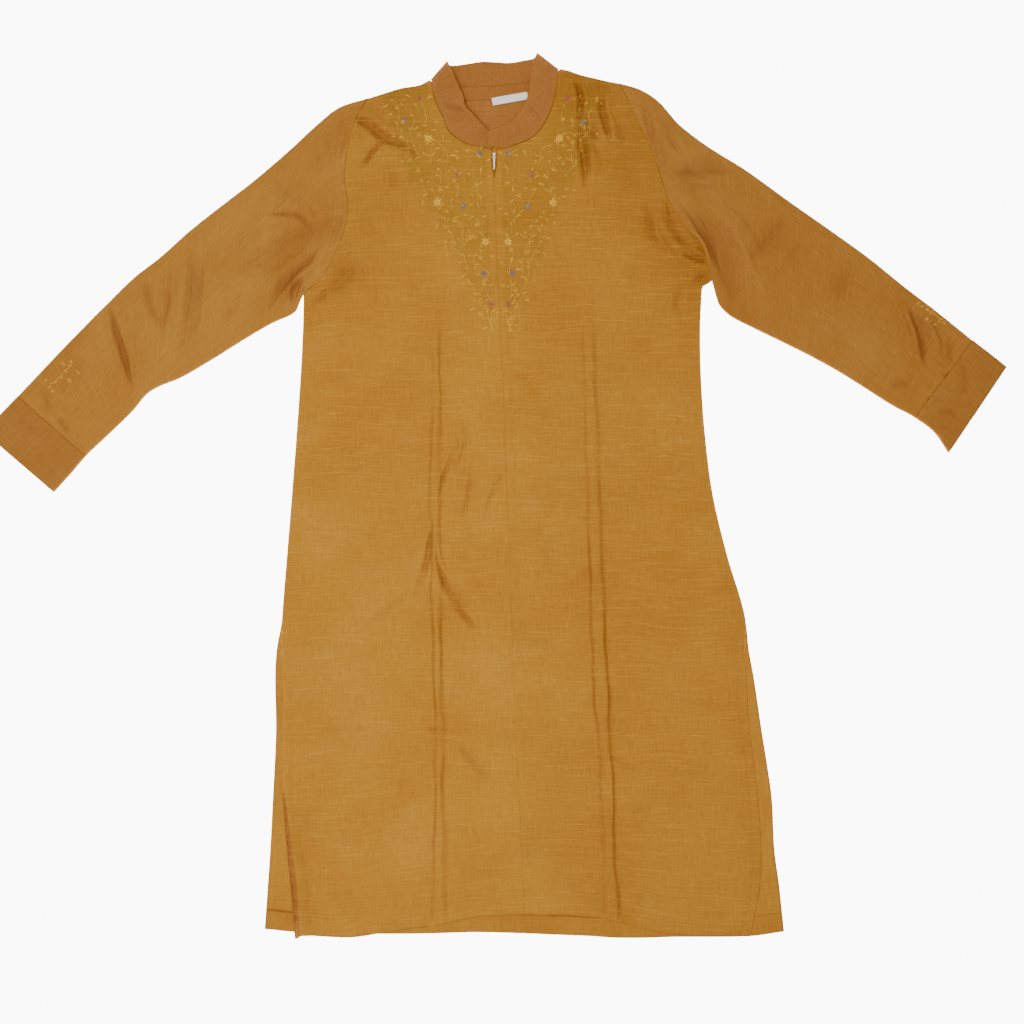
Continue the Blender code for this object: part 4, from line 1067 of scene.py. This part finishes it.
def clothFinish(name, look):
    material, shade, shader = newFinish(name)
    cutPlace = shade.node("UVMap", {"uv_map": "cut"})

    def threads(across, along, detail=2.0, shift=0.0, slip=0.0):
        # noise drawn out along the threads; slip moves each thread by itself
        place = cutPlace
        if slip:
            pick = shade.node("Mapping", None, {"Vector": cutPlace, "Scale": (0.4, along * 0.8, 1.0)})
            pick = shade.node("TexNoise", {"noise_dimensions": "2D"}, {
                "Vector": pick, "Scale": 1.0, "Detail": 0.0})
            moved = shade.node("CombineXYZ", None, {"X": slip * pick})
            place = shade.node("VectorMath", {"operation": "ADD"}, {0: cutPlace, 1: moved})
        stretched = shade.node("Mapping", None, {
            "Vector": place, "Scale": (across, along, 1.0), "Location": (shift, shift * 0.7, 0.0)})
        return shade.node("TexNoise", {"noise_dimensions": "2D"}, {
            "Vector": stretched, "Scale": 1.0, "Detail": detail, "Roughness": 0.5})

    weft = threads(*look["weft"], shift=3.1, slip=0.2)
    warp = threads(*look["warp"], shift=17.7)
    weftFine = threads(look["weft"][0] * 3, look["weft"][1] * 2.3, shift=23.9)
    warpFine = threads(look["warp"][0] * 2.3, look["warp"][1] * 3, shift=37.1)
    slubField = threads(*look["slub"], detail=0.0, shift=71.9, slip=0.3)
    slub = shade.node("ValToRGB", {"stops": look["slubStops"]}, {"Fac": slubField})
    blotch = threads(look["blotch"], look["blotch"], detail=3.0, shift=9.9)
    light = (
        look["weftShare"] * (weft - 0.5) + look["warpShare"] * (warp - 0.5)
        + look["fineShare"] * (weftFine - 0.5) + look["fineShare"] * (warpFine - 0.5)
        + look["blotchShare"] * (blotch - 0.5) + 0.5
    )
    light = shade.node("Clamp", None, {"Value": light})
    colour = shade.node("ValToRGB", {"stops": [
        (0.0, look["deep"]), (0.5, look["colour"]), (1.0, look["pale"]),
    ]}, {"Fac": light})
    # the dye took a little redder in some places than in others
    dye = threads(look["dye"], look["dye"], detail=2.0, shift=55.5)
    dyeStops = [(0.36, look["redder"]), (0.62, (1.0, 1.0, 1.0))]
    dye = shade.node("ValToRGB", {"stops": dyeStops}, {"Fac": dye})
    colour = colour.blendedWith(dye, 1.0, "MULTIPLY")
    # painted shade: the shade attribute darkens the colour towards the painted shade colour
    paintedShadeMask = shade.node("Attribute", {"attribute_name": "shade"}, output=2)
    colour = colour.blendedWith(colour.blendedWith(look["paintedShadeColour"], 1.0, "MULTIPLY"), paintedShadeMask)
    # the tint attribute: the olive yoke ground on the fronts, painted shade inside the neck on the back
    tint = shade.node("Attribute", {"attribute_name": "tint"}, output=2)
    colour = colour.blendedWith(colour.blendedWith(look["tint"], 1.0, "MULTIPLY"), tint)
    slubbed = colour.blendedWith(look["pale"], slub * look["slubShare"])
    height = weft * 0.6 + warp * 0.45 + weftFine * 0.5 + warpFine * 0.5 + slub * 0.5
    shade.give(shader, {
        "Base Color": slubbed,
        "Roughness": 0.88 + 0.1 * weft,
        "Normal": shade.node("Bump", None, {"Height": height, "Strength": look["relief"], "Distance": 0.0004}),
        "Specular IOR Level": 0.12,
        "Sheen Weight": look["sheen"], "Sheen Roughness": 0.5, "Sheen Tint": look["pale"],
    })
    return material


slubCotton = {
    "deep": (0.3, 0.118, 0.0095), "colour": (0.447, 0.19, 0.0165), "pale": (0.6, 0.296, 0.038),
    "weft": (52, 620), "warp": (620, 34), "slub": (46, 430), "blotch": 12,
    "weftShare": 0.4, "warpShare": 0.42, "fineShare": 0.4, "blotchShare": 0.32,
    "dye": 5.5, "redder": (0.95, 0.9, 0.86), "tint": (0.84, 0.87, 0.76),
    # the colour that painted shade darkens the cloth towards
    "paintedShadeColour": (0.59, 0.47, 0.8),
    "slubStops": [(0.0, 0.0), (0.64, 0.0), (0.79, 1.0), (1.0, 1.0)], "slubShare": 0.48,
    "relief": 0.3, "sheen": 0.02,
}
# painted shade: the sleeves and cuffs are darker copies of the body's cotton, the right sleeve darker still,
# for less light on them
sleeveShadedCotton = dict(
    slubCotton, slubShare=0.3,
    deep=(0.262, 0.1, 0.014), colour=(0.39, 0.163, 0.0225), pale=(0.53, 0.255, 0.045),
)
sleeveRightShadedCotton = dict(
    sleeveShadedCotton, deep=(0.242, 0.09, 0.013), colour=(0.362, 0.146, 0.0215), pale=(0.49, 0.23, 0.042),
)
cuffShadedCotton = dict(
    sleeveShadedCotton, deep=(0.23, 0.085, 0.0135), colour=(0.34, 0.137, 0.022), pale=(0.46, 0.215, 0.043),
)
collarCotton = dict(
    slubCotton, slubShare=0.2,
    deep=(0.24, 0.083, 0.0145), colour=(0.347, 0.131, 0.026), pale=(0.45, 0.197, 0.045),
)
finishes = {
    "slubCotton": clothFinish("slubCotton", slubCotton),
    # on the back the tint is painted shade inside the neck
    "backCotton": clothFinish("backCotton", dict(slubCotton, tint=(0.84, 0.77, 1.9), slubShare=0.3)),
    "sleeveShadedCotton": clothFinish("sleeveShadedCotton", sleeveShadedCotton),
    "sleeveRightShadedCotton": clothFinish("sleeveRightShadedCotton", sleeveRightShadedCotton),
    "cuffShadedCotton": clothFinish("cuffShadedCotton", cuffShadedCotton),
    "collarCotton": clothFinish("collarCotton", collarCotton),
    "zipTape": clothFinish("zipTape", dict(
        slubCotton, deep=(0.16, 0.065, 0.012), colour=(0.3, 0.125, 0.02), pale=(0.42, 0.19, 0.035),
        weft=(1400, 2600), warp=(2600, 500), slubShare=0.0, relief=0.5)),
    "label": clothFinish("label", dict(
        slubCotton, deep=(0.84, 0.8, 0.75), colour=(0.95, 0.92, 0.88), pale=(0.98, 0.97, 0.95),
        weft=(900, 2400), warp=(2600, 300), slubShare=0.0, relief=0.3, redder=(1.0, 0.99, 0.97))),
}


def metalFinish(name, colour, roughness, metallic=1.0):
    material, shade, shader = newFinish(name)
    place = shade.node("TexCoord", output=3)
    scratches = shade.node("TexNoise", None, {"Vector": place, "Scale": 900.0, "Detail": 3.0})
    wear = shade.node("TexNoise", None, {"Vector": place, "Scale": 240.0, "Detail": 2.0})
    dull = tuple(channel * 0.82 for channel in colour)
    shade.give(shader, {
        "Base Color": shade.node("ValToRGB", {"stops": [(0.3, dull), (0.7, colour)]}, {"Fac": wear}),
        "Roughness": roughness + 0.16 * (scratches - 0.5) + 0.1 * wear,
        "Normal": shade.node("Bump", None, {"Height": scratches, "Strength": 0.2, "Distance": 0.0001}),
        "Metallic": metallic,
    })
    return material


finishes["metal"] = metalFinish("zipMetal", (0.78, 0.74, 0.68), 0.32)

pieceNodes = {
    "back": ("back_panel", "backCotton", "slub_cotton"),
    "frontLeft": ("front_left", "slubCotton", "slub_cotton"),
    "frontRight": ("front_right", "slubCotton", "slub_cotton"),
    "sleeveLeft": ("sleeve_left", "sleeveShadedCotton", "slub_cotton"),
    "sleeveRight": ("sleeve_right", "sleeveRightShadedCotton", "slub_cotton"),
    "cuffLeft": ("cuff_left", "cuffShadedCotton", "slub_cotton"),
    "cuffRight": ("cuff_right", "cuffShadedCotton", "slub_cotton"),
    "collar": ("collar_band", "collarCotton", "collar_cotton"),
    "neckTape": ("neck_tape", "collarCotton", "collar_cotton"),
    "neckLabel": ("neck_label", "label", "label"),
    "zipTapeLeft": ("zip_tape_left", "zipTape", "zip_tape"),
    "zipTapeRight": ("zip_tape_right", "zipTape", "zip_tape"),
}
for name, (node, finish, slot) in pieceNodes.items():
    piece = clothPieces[name]
    piece.data.materials.append(finishes[finish])
    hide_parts(node)
    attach(piece, "garment")
finishes["lacquer"] = metalFinish("zipLacquer", (0.5, 0.27, 0.06), 0.42, metallic=0.0)
for node, finish in (("zip_slider", "lacquer"), ("zip_pull", "metal")):
    for slot in bpy.data.objects[node].material_slots:
        slot.material = finishes[finish]
print("finishes on")


# stitches: a tree sets a thread on each point, another one follows a path

def treeFor(name, inputs):
    tree = bpy.data.node_groups.new(name, "GeometryNodeTree")
    tree.interface.new_socket("Geometry", in_out="INPUT", socket_type="NodeSocketGeometry")
    for label, kind, value in inputs:
        made = tree.interface.new_socket(label, in_out="INPUT", socket_type="NodeSocket" + kind)
        if value is not None:
            made.default_value = value
    tree.interface.new_socket("Geometry", in_out="OUTPUT", socket_type="NodeSocketGeometry")
    return tree


def treeNode(tree, kind, settings=None, values=None):
    made = tree.nodes.new(kind)
    for name, value in (settings or {}).items():
        setattr(made, name, value)
    for name, value in (values or {}).items():
        if isinstance(value, bpy.types.NodeSocket):
            tree.links.new(value, made.inputs[name])
        else:
            made.inputs[name].default_value = value
    return made


def threadMesh(tree):
    # a short plump thread along X, one metre long before it is scaled
    ball = treeNode(tree, "GeometryNodeMeshUVSphere", None, {"Segments": 6, "Rings": 4, "Radius": 0.5})
    turned = treeNode(tree, "GeometryNodeTransform", None, {
        "Geometry": ball.outputs["Mesh"], "Rotation": (0.0, math.pi / 2, 0.0)})
    smooth = treeNode(tree, "GeometryNodeSetShadeSmooth", None, {"Geometry": turned.outputs["Geometry"]})
    return smooth.outputs[0]


def finished(tree, instances, material):
    real = treeNode(tree, "GeometryNodeRealizeInstances", None, {"Geometry": instances})
    dressed = treeNode(tree, "GeometryNodeSetMaterial", None, {
        "Geometry": real.outputs["Geometry"], "Material": material})
    out = tree.nodes.new("NodeGroupOutput")
    tree.links.new(dressed.outputs["Geometry"], out.inputs["Geometry"])


def scatteredThreads():
    tree = treeFor("scatteredThreads", [
        ("Width", "Float", 0.0008), ("Height", "Float", 0.0005), ("Jitter", "Float", 0.1),
        ("Seed", "Int", 4), ("Material", "Material", None),
    ])
    given = tree.nodes.new("NodeGroupInput").outputs
    turn = treeNode(tree, "GeometryNodeInputNamedAttribute", {"data_type": "FLOAT_VECTOR"}, {
        "Name": "turn"})
    long = treeNode(tree, "GeometryNodeInputNamedAttribute", {"data_type": "FLOAT"}, {"Name": "long"})
    uneven = treeNode(tree, "FunctionNodeRandomValue", {"data_type": "FLOAT"}, {"Seed": given["Seed"]})
    least = treeNode(tree, "ShaderNodeMath", {"operation": "SUBTRACT"}, {0: 1.0, 1: given["Jitter"]})
    most = treeNode(tree, "ShaderNodeMath", {"operation": "ADD"}, {0: 1.0, 1: given["Jitter"]})
    tree.links.new(least.outputs[0], uneven.inputs[2])
    tree.links.new(most.outputs[0], uneven.inputs[3])
    reach = treeNode(tree, "ShaderNodeMath", {"operation": "MULTIPLY"}, {
        0: long.outputs[0], 1: uneven.outputs[1]})
    size = treeNode(tree, "ShaderNodeCombineXYZ", None, {
        "X": reach.outputs[0], "Y": given["Width"], "Z": given["Height"]})
    points = treeNode(tree, "GeometryNodeMeshToPoints", None, {"Mesh": given["Geometry"]})
    placed = treeNode(tree, "GeometryNodeInstanceOnPoints", None, {
        "Points": points.outputs["Points"], "Instance": threadMesh(tree),
        "Rotation": turn.outputs[0], "Scale": size.outputs[0]})
    finished(tree, placed.outputs["Instances"], given["Material"])
    return tree


def runningStitch():
    tree = treeFor("runningStitch", [
        ("Pitch", "Float", 0.0025), ("Length", "Float", 0.0017), ("Width", "Float", 0.0004),
        ("Height", "Float", 0.0003), ("Material", "Material", None),
    ])
    given = tree.nodes.new("NodeGroupInput").outputs
    path = treeNode(tree, "GeometryNodeMeshToCurve", None, {"Mesh": given["Geometry"]})
    steps = treeNode(tree, "GeometryNodeResampleCurve", {"mode": "LENGTH"}, {
        "Curve": path.outputs["Curve"], "Length": given["Pitch"]})
    tangent = tree.nodes.new("GeometryNodeInputTangent")
    turn = treeNode(tree, "FunctionNodeAlignRotationToVector", {"axis": "X", "pivot_axis": "Z"}, {
        "Vector": tangent.outputs[0]})
    size = treeNode(tree, "ShaderNodeCombineXYZ", None, {
        "X": given["Length"], "Y": given["Width"], "Z": given["Height"]})
    placed = treeNode(tree, "GeometryNodeInstanceOnPoints", None, {
        "Points": steps.outputs["Curve"], "Instance": threadMesh(tree),
        "Rotation": turn.outputs[0], "Scale": size.outputs[0]})
    finished(tree, placed.outputs["Instances"], given["Material"])
    return tree


trees = {"scattered": scatteredThreads(), "running": runningStitch()}


def madeByTree(name, mesh, tree, inputs, material):
    source = inScene(name + "Source", mesh)
    maker = source.modifiers.new("maker", "NODES")
    maker.node_group = tree
    sockets = {item.name: item.identifier for item in tree.interface.items_tree if item.in_out == "INPUT"}
    for label, value in inputs.items():
        maker[sockets[label]] = value
    maker[sockets["Material"]] = material
    graph = bpy.context.evaluated_depsgraph_get()
    plain = bpy.data.meshes.new_from_object(source.evaluated_get(graph), depsgraph=graph)
    source.modifiers.remove(maker)
    bpy.data.objects.remove(source)
    plain.name = name
    made = inScene(name, plain)
    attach(made, "garment")
    print(name, len(plain.polygons), "faces")
    return made


def threadFinish(name, colour, pale):
    material, shade, shader = newFinish(name)
    place = shade.node("TexCoord", output=3)
    twist = shade.node("TexWave", {"bands_direction": "DIAGONAL"}, {
        "Vector": place, "Scale": 900.0, "Distortion": 1.5, "Detail": 1.0})
    tone = shade.node("TexNoise", None, {"Vector": place, "Scale": 160.0, "Detail": 2.0})
    shade.give(shader, {
        "Base Color": shade.node("ValToRGB", {"stops": [(0.3, colour), (0.72, pale)]}, {"Fac": tone}),
        "Roughness": 0.5 + 0.2 * twist,
        "Normal": shade.node("Bump", None, {"Height": twist, "Strength": 0.5, "Distance": 0.0001}),
        "Specular IOR Level": 0.35, "Sheen Weight": 0.08,
    })
    return material


threadLooks = {
    "olive": threadFinish("oliveThread", (0.31, 0.17, 0.012), (0.45, 0.26, 0.02)),
    "gold": threadFinish("goldThread", (0.66, 0.32, 0.006), (1.0, 0.5, 0.012)),
    "cream": threadFinish("creamThread", (1.0, 0.5, 0.012), (1.0, 0.6, 0.03)),
    "violet": threadFinish("violetThread", (0.16, 0.115, 0.1), (0.21, 0.15, 0.125)),
    "rose": threadFinish("roseThread", (0.34, 0.065, 0.03), (0.42, 0.1, 0.05)),
    "seam": threadFinish("seamThread", (0.34, 0.13, 0.01), (0.46, 0.21, 0.02)),
    "tack": threadFinish("tackThread", (0.48, 0.19, 0.012), (0.58, 0.25, 0.02)),
}


class Threads:
    # points to be sewn on a cloth surface: where, which way, how long
    def __init__(self, look, lift=0.15):
        self.look = look
        self.lift = lift
        self.kinds = {}

    def sew(self, kind, x, y, angle, long):
        found = self.look(x, y)
        if found is None:
            return
        place, normal = found
        if normal.z < 0.35:
            return
        along = Vector((math.cos(angle), math.sin(angle), 0.0))
        along = (along - normal * along.dot(normal)).normalized()
        side = normal.cross(along)
        frameOf = np.array([along, side, normal]).T
        turn = Vector(Matrix(frameOf.tolist()).to_euler())
        self.kinds.setdefault(kind, []).append((place + normal * self.lift * mm, turn, long * mm))

    def meshes(self):
        for kind, rows in self.kinds.items():
            mesh = bpy.data.meshes.new(kind)
            mesh.from_pydata([row[0] for row in rows], [], [])
            turn = mesh.attributes.new("turn", "FLOAT_VECTOR", "POINT")
            turn.data.foreach_set("vector", np.array([row[1] for row in rows]).ravel())
            long = mesh.attributes.new("long", "FLOAT", "POINT")
            long.data.foreach_set("value", np.array([row[2] for row in rows]))
            yield kind, mesh


def flowerAt(threads, x, y, kind, dice):
    count = yoke["petals"][kind]
    start = dice.uniform(0, 1)
    for k in range(count):
        angle = (k + start) * 2 * math.pi / count + dice.uniform(-0.12, 0.12)
        long = yoke["petalReach"][kind] * dice.uniform(0.86, 1.12)
        middle = 0.25 + long / 2
        for turn in ((-0.1, 0.1) if kind == "cream" else (-0.24, 0.0, 0.24)):
            px = x + math.cos(angle + turn * 0.8) * middle
            py = y + math.sin(angle + turn * 0.8) * middle
            threads.sew(kind, px, py, angle - turn * 0.5, long * (1 - 0.6 * abs(turn)))


def leafAt(threads, x, y, angle, long, dice):
    # now and then a second leaf opens beside the first
    turns = (-0.05, 0.05) if dice.random() < 0.65 else (-0.28, -0.2, 0.24)
    for turn in turns:
        px = x + math.cos(angle + turn) * long / 2
        py = y + math.sin(angle + turn) * long / 2
        threads.sew("gold", px, py, angle + turn, long * (1 - 0.25 * dice.random()))


def lineOfThread(threads, line, kind="olive"):
    for a, b in zip(line, line[1:]):
        angle = math.atan2(b[1] - a[1], b[0] - a[0])
        threads.sew(kind, (a[0] + b[0]) / 2, (a[1] + b[1]) / 2, angle, yoke["stemLong"])
    return angle


def sheafAt(threads, x, y, dice):
    # the sprays end in a few long threads, which spread upwards from one foot
    for k, turn in enumerate((-0.42, -0.1, 0.12, 0.4)):
        steps = int(dice.uniform(*yoke["sheafLong"]) / yoke["stemStep"])
        line = [(x + 0.9 * (1.5 - k), y)]
        for step in range(steps):
            angle = math.pi / 2 - turn * (0.1 + 1.2 * step / steps)
            angle = angle + 0.38 * math.sin(6.3 * step / steps + k)
            line.append((line[-1][0] + math.cos(angle) * yoke["stemStep"],
                         line[-1][1] + math.sin(angle) * yoke["stemStep"]))
        lineOfThread(threads, line, "gold")
    for turn in (-1.0, 1.0):
        threads.sew("gold", x + 2.5 * turn, y + 2, math.pi / 2 + 0.7 * turn, 5)


def tendrilAt(threads, x, y, angle, hand, dice, tip):
    # a curl that leaves the stem and turns away from it
    long = dice.uniform(*yoke["tendrilLong"])
    steps = max(int(long / yoke["stemStep"]), 3)
    bend = hand * dice.uniform(0.9, 2.1)
    line = [(x, y)]
    for k in range(steps):
        turned = angle + hand * 0.35 + bend * (k / steps) ** 1.5
        x += math.cos(turned) * long / steps
        y += math.sin(turned) * long / steps
        line.append((x, y))
    lineOfThread(threads, line)
    if tip:
        leafAt(threads, x, y, turned + hand * 0.2, dice.uniform(*yoke["leafLong"]), dice)


def stemAlong(threads, points, dice):
    points = np.array(points, float)
    steps = int(lengthsOf(points)[-1] / yoke["stemStep"])
    line = along(points, np.linspace(0, 1, steps + 1))
    lineOfThread(threads, line)
    leafDue = dice.uniform(3, yoke["leafEvery"])
    curlDue = dice.uniform(3, yoke["tendrilEvery"])
    strandDue = dice.uniform(3, yoke["strandEvery"])
    hand = dice.choice((-1, 1))
    for k, (a, b) in enumerate(zip(line, line[1:])):
        angle = math.atan2(b[1] - a[1], b[0] - a[0])
        strandDue -= yoke["stemStep"]
        if strandDue < 0:  # the stem is picked out in gold for a way
            strandDue = yoke["strandEvery"] + dice.uniform(-12, 12)
            reach = k + int(dice.uniform(*yoke["strandLong"]) / yoke["stemStep"]) + 2
            if reach < len(line):
                lineOfThread(threads, line[k:reach], "gold")
        leafDue -= yoke["stemStep"]
        curlDue -= yoke["stemStep"]
        if leafDue < 0:
            leafDue = yoke["leafEvery"] + dice.uniform(-4, 4)
            out = angle + dice.choice((-1, 1)) * dice.uniform(0.4, 0.9)
            leafAt(threads, *(a + b) / 2, out, dice.uniform(*yoke["leafLong"]), dice)
        if curlDue < 0:
            curlDue = yoke["tendrilEvery"] + dice.uniform(-3, 4)
            hand = -hand
            tendrilAt(threads, *(a + b) / 2, angle, hand, dice, dice.random() < 0.45)
    leafAt(threads, *line[-1], angle, dice.uniform(*yoke["leafLong"]), dice)


def embroiderYoke():
    threads = Threads(topOf("frontLeft", "frontRight", "collar"))
    for side in (-1, 1):
        dice = random.Random(8 + side)

        def placed(out, height):
            return float(zipLine(np.array(float(min(height, neckHeight))))) + side * out, height

        for stem in yoke["stems"]:
            stemAlong(threads, [placed(out, height) for out, height in stem], dice)
        for height, out, kind in yoke["flowers"]:
            x, y = placed(out, height)
            flowerAt(threads, x, y, kind, dice)
        sheafAt(threads, *placed(*yoke["sheaf"]), dice)
    return threads


# a small spray near each cuff

sprays = {
    "right": [(500, 262), (508, 256), (518, 252), (527, 246), (536, 238)],
    "left": [(-545, 190), (-550, 182), (-558, 176), (-566, 166), (-574, 158)],
}


def embroiderSprays():
    threads = Threads(topOf("sleeveLeft", "sleeveRight"))
    for name, stem in sprays.items():
        dice = random.Random(len(name))
        stemAlong(threads, stem, dice)
        for share in (0.15, 0.4, 0.65, 0.9):
            x, y = along(stem, share)
            leafAt(threads, x, y, dice.uniform(-2.8, 2.8), dice.uniform(4, 7), dice)
    return threads


for name, threads in (("yoke", embroiderYoke()), ("spray", embroiderSprays())):
    for kind, mesh in threads.meshes():
        madeByTree(name + kind.capitalize(), mesh, trees["scattered"],
                   {"Width": yoke["widths"][kind] * mm, "Height": 0.4 * mm, "Jitter": 0.12, "Seed": 5},
                   threadLooks[kind])


# machine stitching

def pathOn(look, points, step=2.0, lift=0.06):
    points = np.array(points, float)
    count = max(int(lengthsOf(points)[-1] / step), 2)
    laid = []
    for x, y in along(points, np.linspace(0, 1, count)):
        found = look(x, y)
        if found is not None:
            laid.append((found[0].x, found[0].y, found[0].z + lift * mm))
    return laid


def stitchMesh(name, paths):
    verts, edges = [], []
    for path in paths:
        start = len(verts)
        verts += path
        edges += [(start + i, start + i + 1) for i in range(len(path) - 1)]
    mesh = bpy.data.meshes.new(name)
    mesh.from_pydata(verts, edges, [])
    return mesh


stitching = {
    "hemUp": 28.5, "slitIn": 10, "pitch": 3.1, "long": 2.5, "width": 0.5,
    "tacks": [((-285, -160), (-285, -176), 2.6), ((291, -160), (290, -176), 2.6)],
}


def hemPath(layer, start, end):
    x = np.linspace(start, end, 60)
    return np.stack([x, hemShift(layer, x) + cut["levels"][0][0] + stitching["hemUp"]], -1)


def slitPath(side, layer, low=-498, high=-176):
    y = np.linspace(low, high, 60)
    return np.stack([panelEdge(side, layer, y) - side * stitching["slitIn"], y], -1)


fronts = topOf("frontLeft", "frontRight")
backLook = topOf("back")
seams = [
    pathOn(fronts, hemPath("front", -258, 8)), pathOn(fronts, hemPath("front", 16, 287)),
    pathOn(backLook, hemPath("back", -299, 330)),
    pathOn(backLook, slitPath(-1, "back")), pathOn(backLook, slitPath(1, "back")),
    pathOn(fronts, slitPath(-1, "front")), pathOn(fronts, slitPath(1, "front")),
    pathOn(backLook, [(-49, 501), (-39, 492), (-18, 490.5), (1, 493), (13, 501)]),
]
madeByTree("machineStitches", stitchMesh("machineStitches", seams), trees["running"], {
    "Pitch": stitching["pitch"] * mm, "Length": stitching["long"] * mm,
    "Width": stitching["width"] * mm, "Height": 0.3 * mm,
}, threadLooks["seam"])

tackThreads = Threads(topOf("frontLeft", "frontRight", "back"))
for (x0, y0), (x1, y1), wide in stitching["tacks"]:
    for share in np.linspace(0, 1, 30):
        slant = 0.12 * (-1) ** int(share * 29)
        tackThreads.sew("tack", mixed(x0, x1, share), mixed(y0, y1, share), slant, wide)
for kind, mesh in tackThreads.meshes():
    madeByTree("barTacks", mesh, trees["scattered"], {
        "Width": 0.7 * mm, "Height": 0.5 * mm, "Jitter": 0.15, "Seed": 9,
    }, threadLooks[kind])


# the coil of the zip, along both tapes

coilPaths = []
for side in (-1, 1):
    y = np.linspace(zipFront["bottom"], zipFront["top"] - 9, 180)
    coilPaths.append([(x * mm, h * mm, 2.72 * mm) for x, h in zip(zipLine(y) + side * 1.25, y)])
madeByTree("zipCoil", stitchMesh("zipCoil", coilPaths), trees["running"], {
    "Pitch": 1.3 * mm, "Length": 0.8 * mm, "Width": 2.3 * mm, "Height": 0.9 * mm,
}, finishes["zipTape"])


# the cut sizes of the sheets, in metres

cutSizes = {
    # piece: width and length as cut, what it lies on
    "back": ((0.66, 1.10), []),
    "frontLeft": ((0.31, 1.08), ["back"]),
    "frontRight": ((0.36, 1.08), ["back"]),
    "sleeveLeft": ((0.52, 0.53), []),
    "sleeveRight": ((0.52, 0.53), []),
    "cuffLeft": ((0.24, 0.065), []),
    "cuffRight": ((0.23, 0.065), []),
    "collar": ((0.47, 0.032), ["frontLeft", "frontRight", "back"]),
    "neckTape": ((0.117, 0.018), ["back"]),
    "neckLabel": ((0.047, 0.0115), ["neckTape"]),  # its edges are turned under
    "zipTapeLeft": ((0.012, 0.458), ["back"]),
    "zipTapeRight": ((0.012, 0.458), ["back"]),
}
for name, ((width, length), under) in cutSizes.items():
    area = sum(face.area for face in clothPieces[name].data.polygons)
    share = area / (width * length)
    print(name, "area", round(area, 5), "share of its cut", round(share, 3))
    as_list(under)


# floor, light and camera

studio = {
    "height": 1.7778, "lens": 50,
    "floor": (0.95, 0.95, 0.95), "floorGlow": 9,
    "key": 45.5, "keyPlace": (-0.3, -0.12, 2.2), "keySize": 0.9,
    "fill": 5, "fillPlace": (-1.1, -0.4, 1.9), "fillSize": 0.8,
    "sky": 0.42,
}
floorMesh = bpy.data.meshes.new("floor")
floorMesh.from_pydata([(x, y, -0.0005) for x, y in ((-6, -6), (6, -6), (6, 6), (-6, 6))], [], [(0, 1, 2, 3)])
floor = inScene("floor", floorMesh)
floorFinish, shade, shader = newFinish("paleFloor")
shade.give(shader, {
    "Base Color": studio["floor"], "Roughness": 0.95, "Specular IOR Level": 0.05,
    "Emission Color": (1, 1, 1), "Emission Strength": studio["floorGlow"],
})
floorMesh.materials.append(floorFinish)
floor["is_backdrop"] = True

for name, power, place, size in (
    ("key", studio["key"], studio["keyPlace"], studio["keySize"]),
    ("fill", studio["fill"], studio["fillPlace"], studio["fillSize"]),
):
    light = bpy.data.lights.new(name, "AREA")
    light.energy = power
    light.size = size
    lamp = inScene(name, light)
    lamp.location = place
    lamp.rotation_euler = Vector(place).to_track_quat("Z", "Y").to_euler()

world = bpy.data.worlds.new("studio")
world.use_nodes = True
world.node_tree.nodes["Background"].inputs["Color"].default_value = (1, 1, 1, 1)
world.node_tree.nodes["Background"].inputs["Strength"].default_value = studio["sky"]
bpy.context.scene.world = world

eye = bpy.data.cameras.new("camera")
eye.lens = studio["lens"]
eye.sensor_width = 36
eye.clip_end = 30
camera = inScene("camera", eye)
camera.location = (0, 0, studio["height"])
bpy.context.scene.camera = camera

bpy.context.view_layer.update()
low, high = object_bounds()
for name, ends in (("cad", zip(cadLow, cadHigh)), ("visual", zip(low, high))):
    print(name, "size", [round(b - a, 4) for a, b in ends])
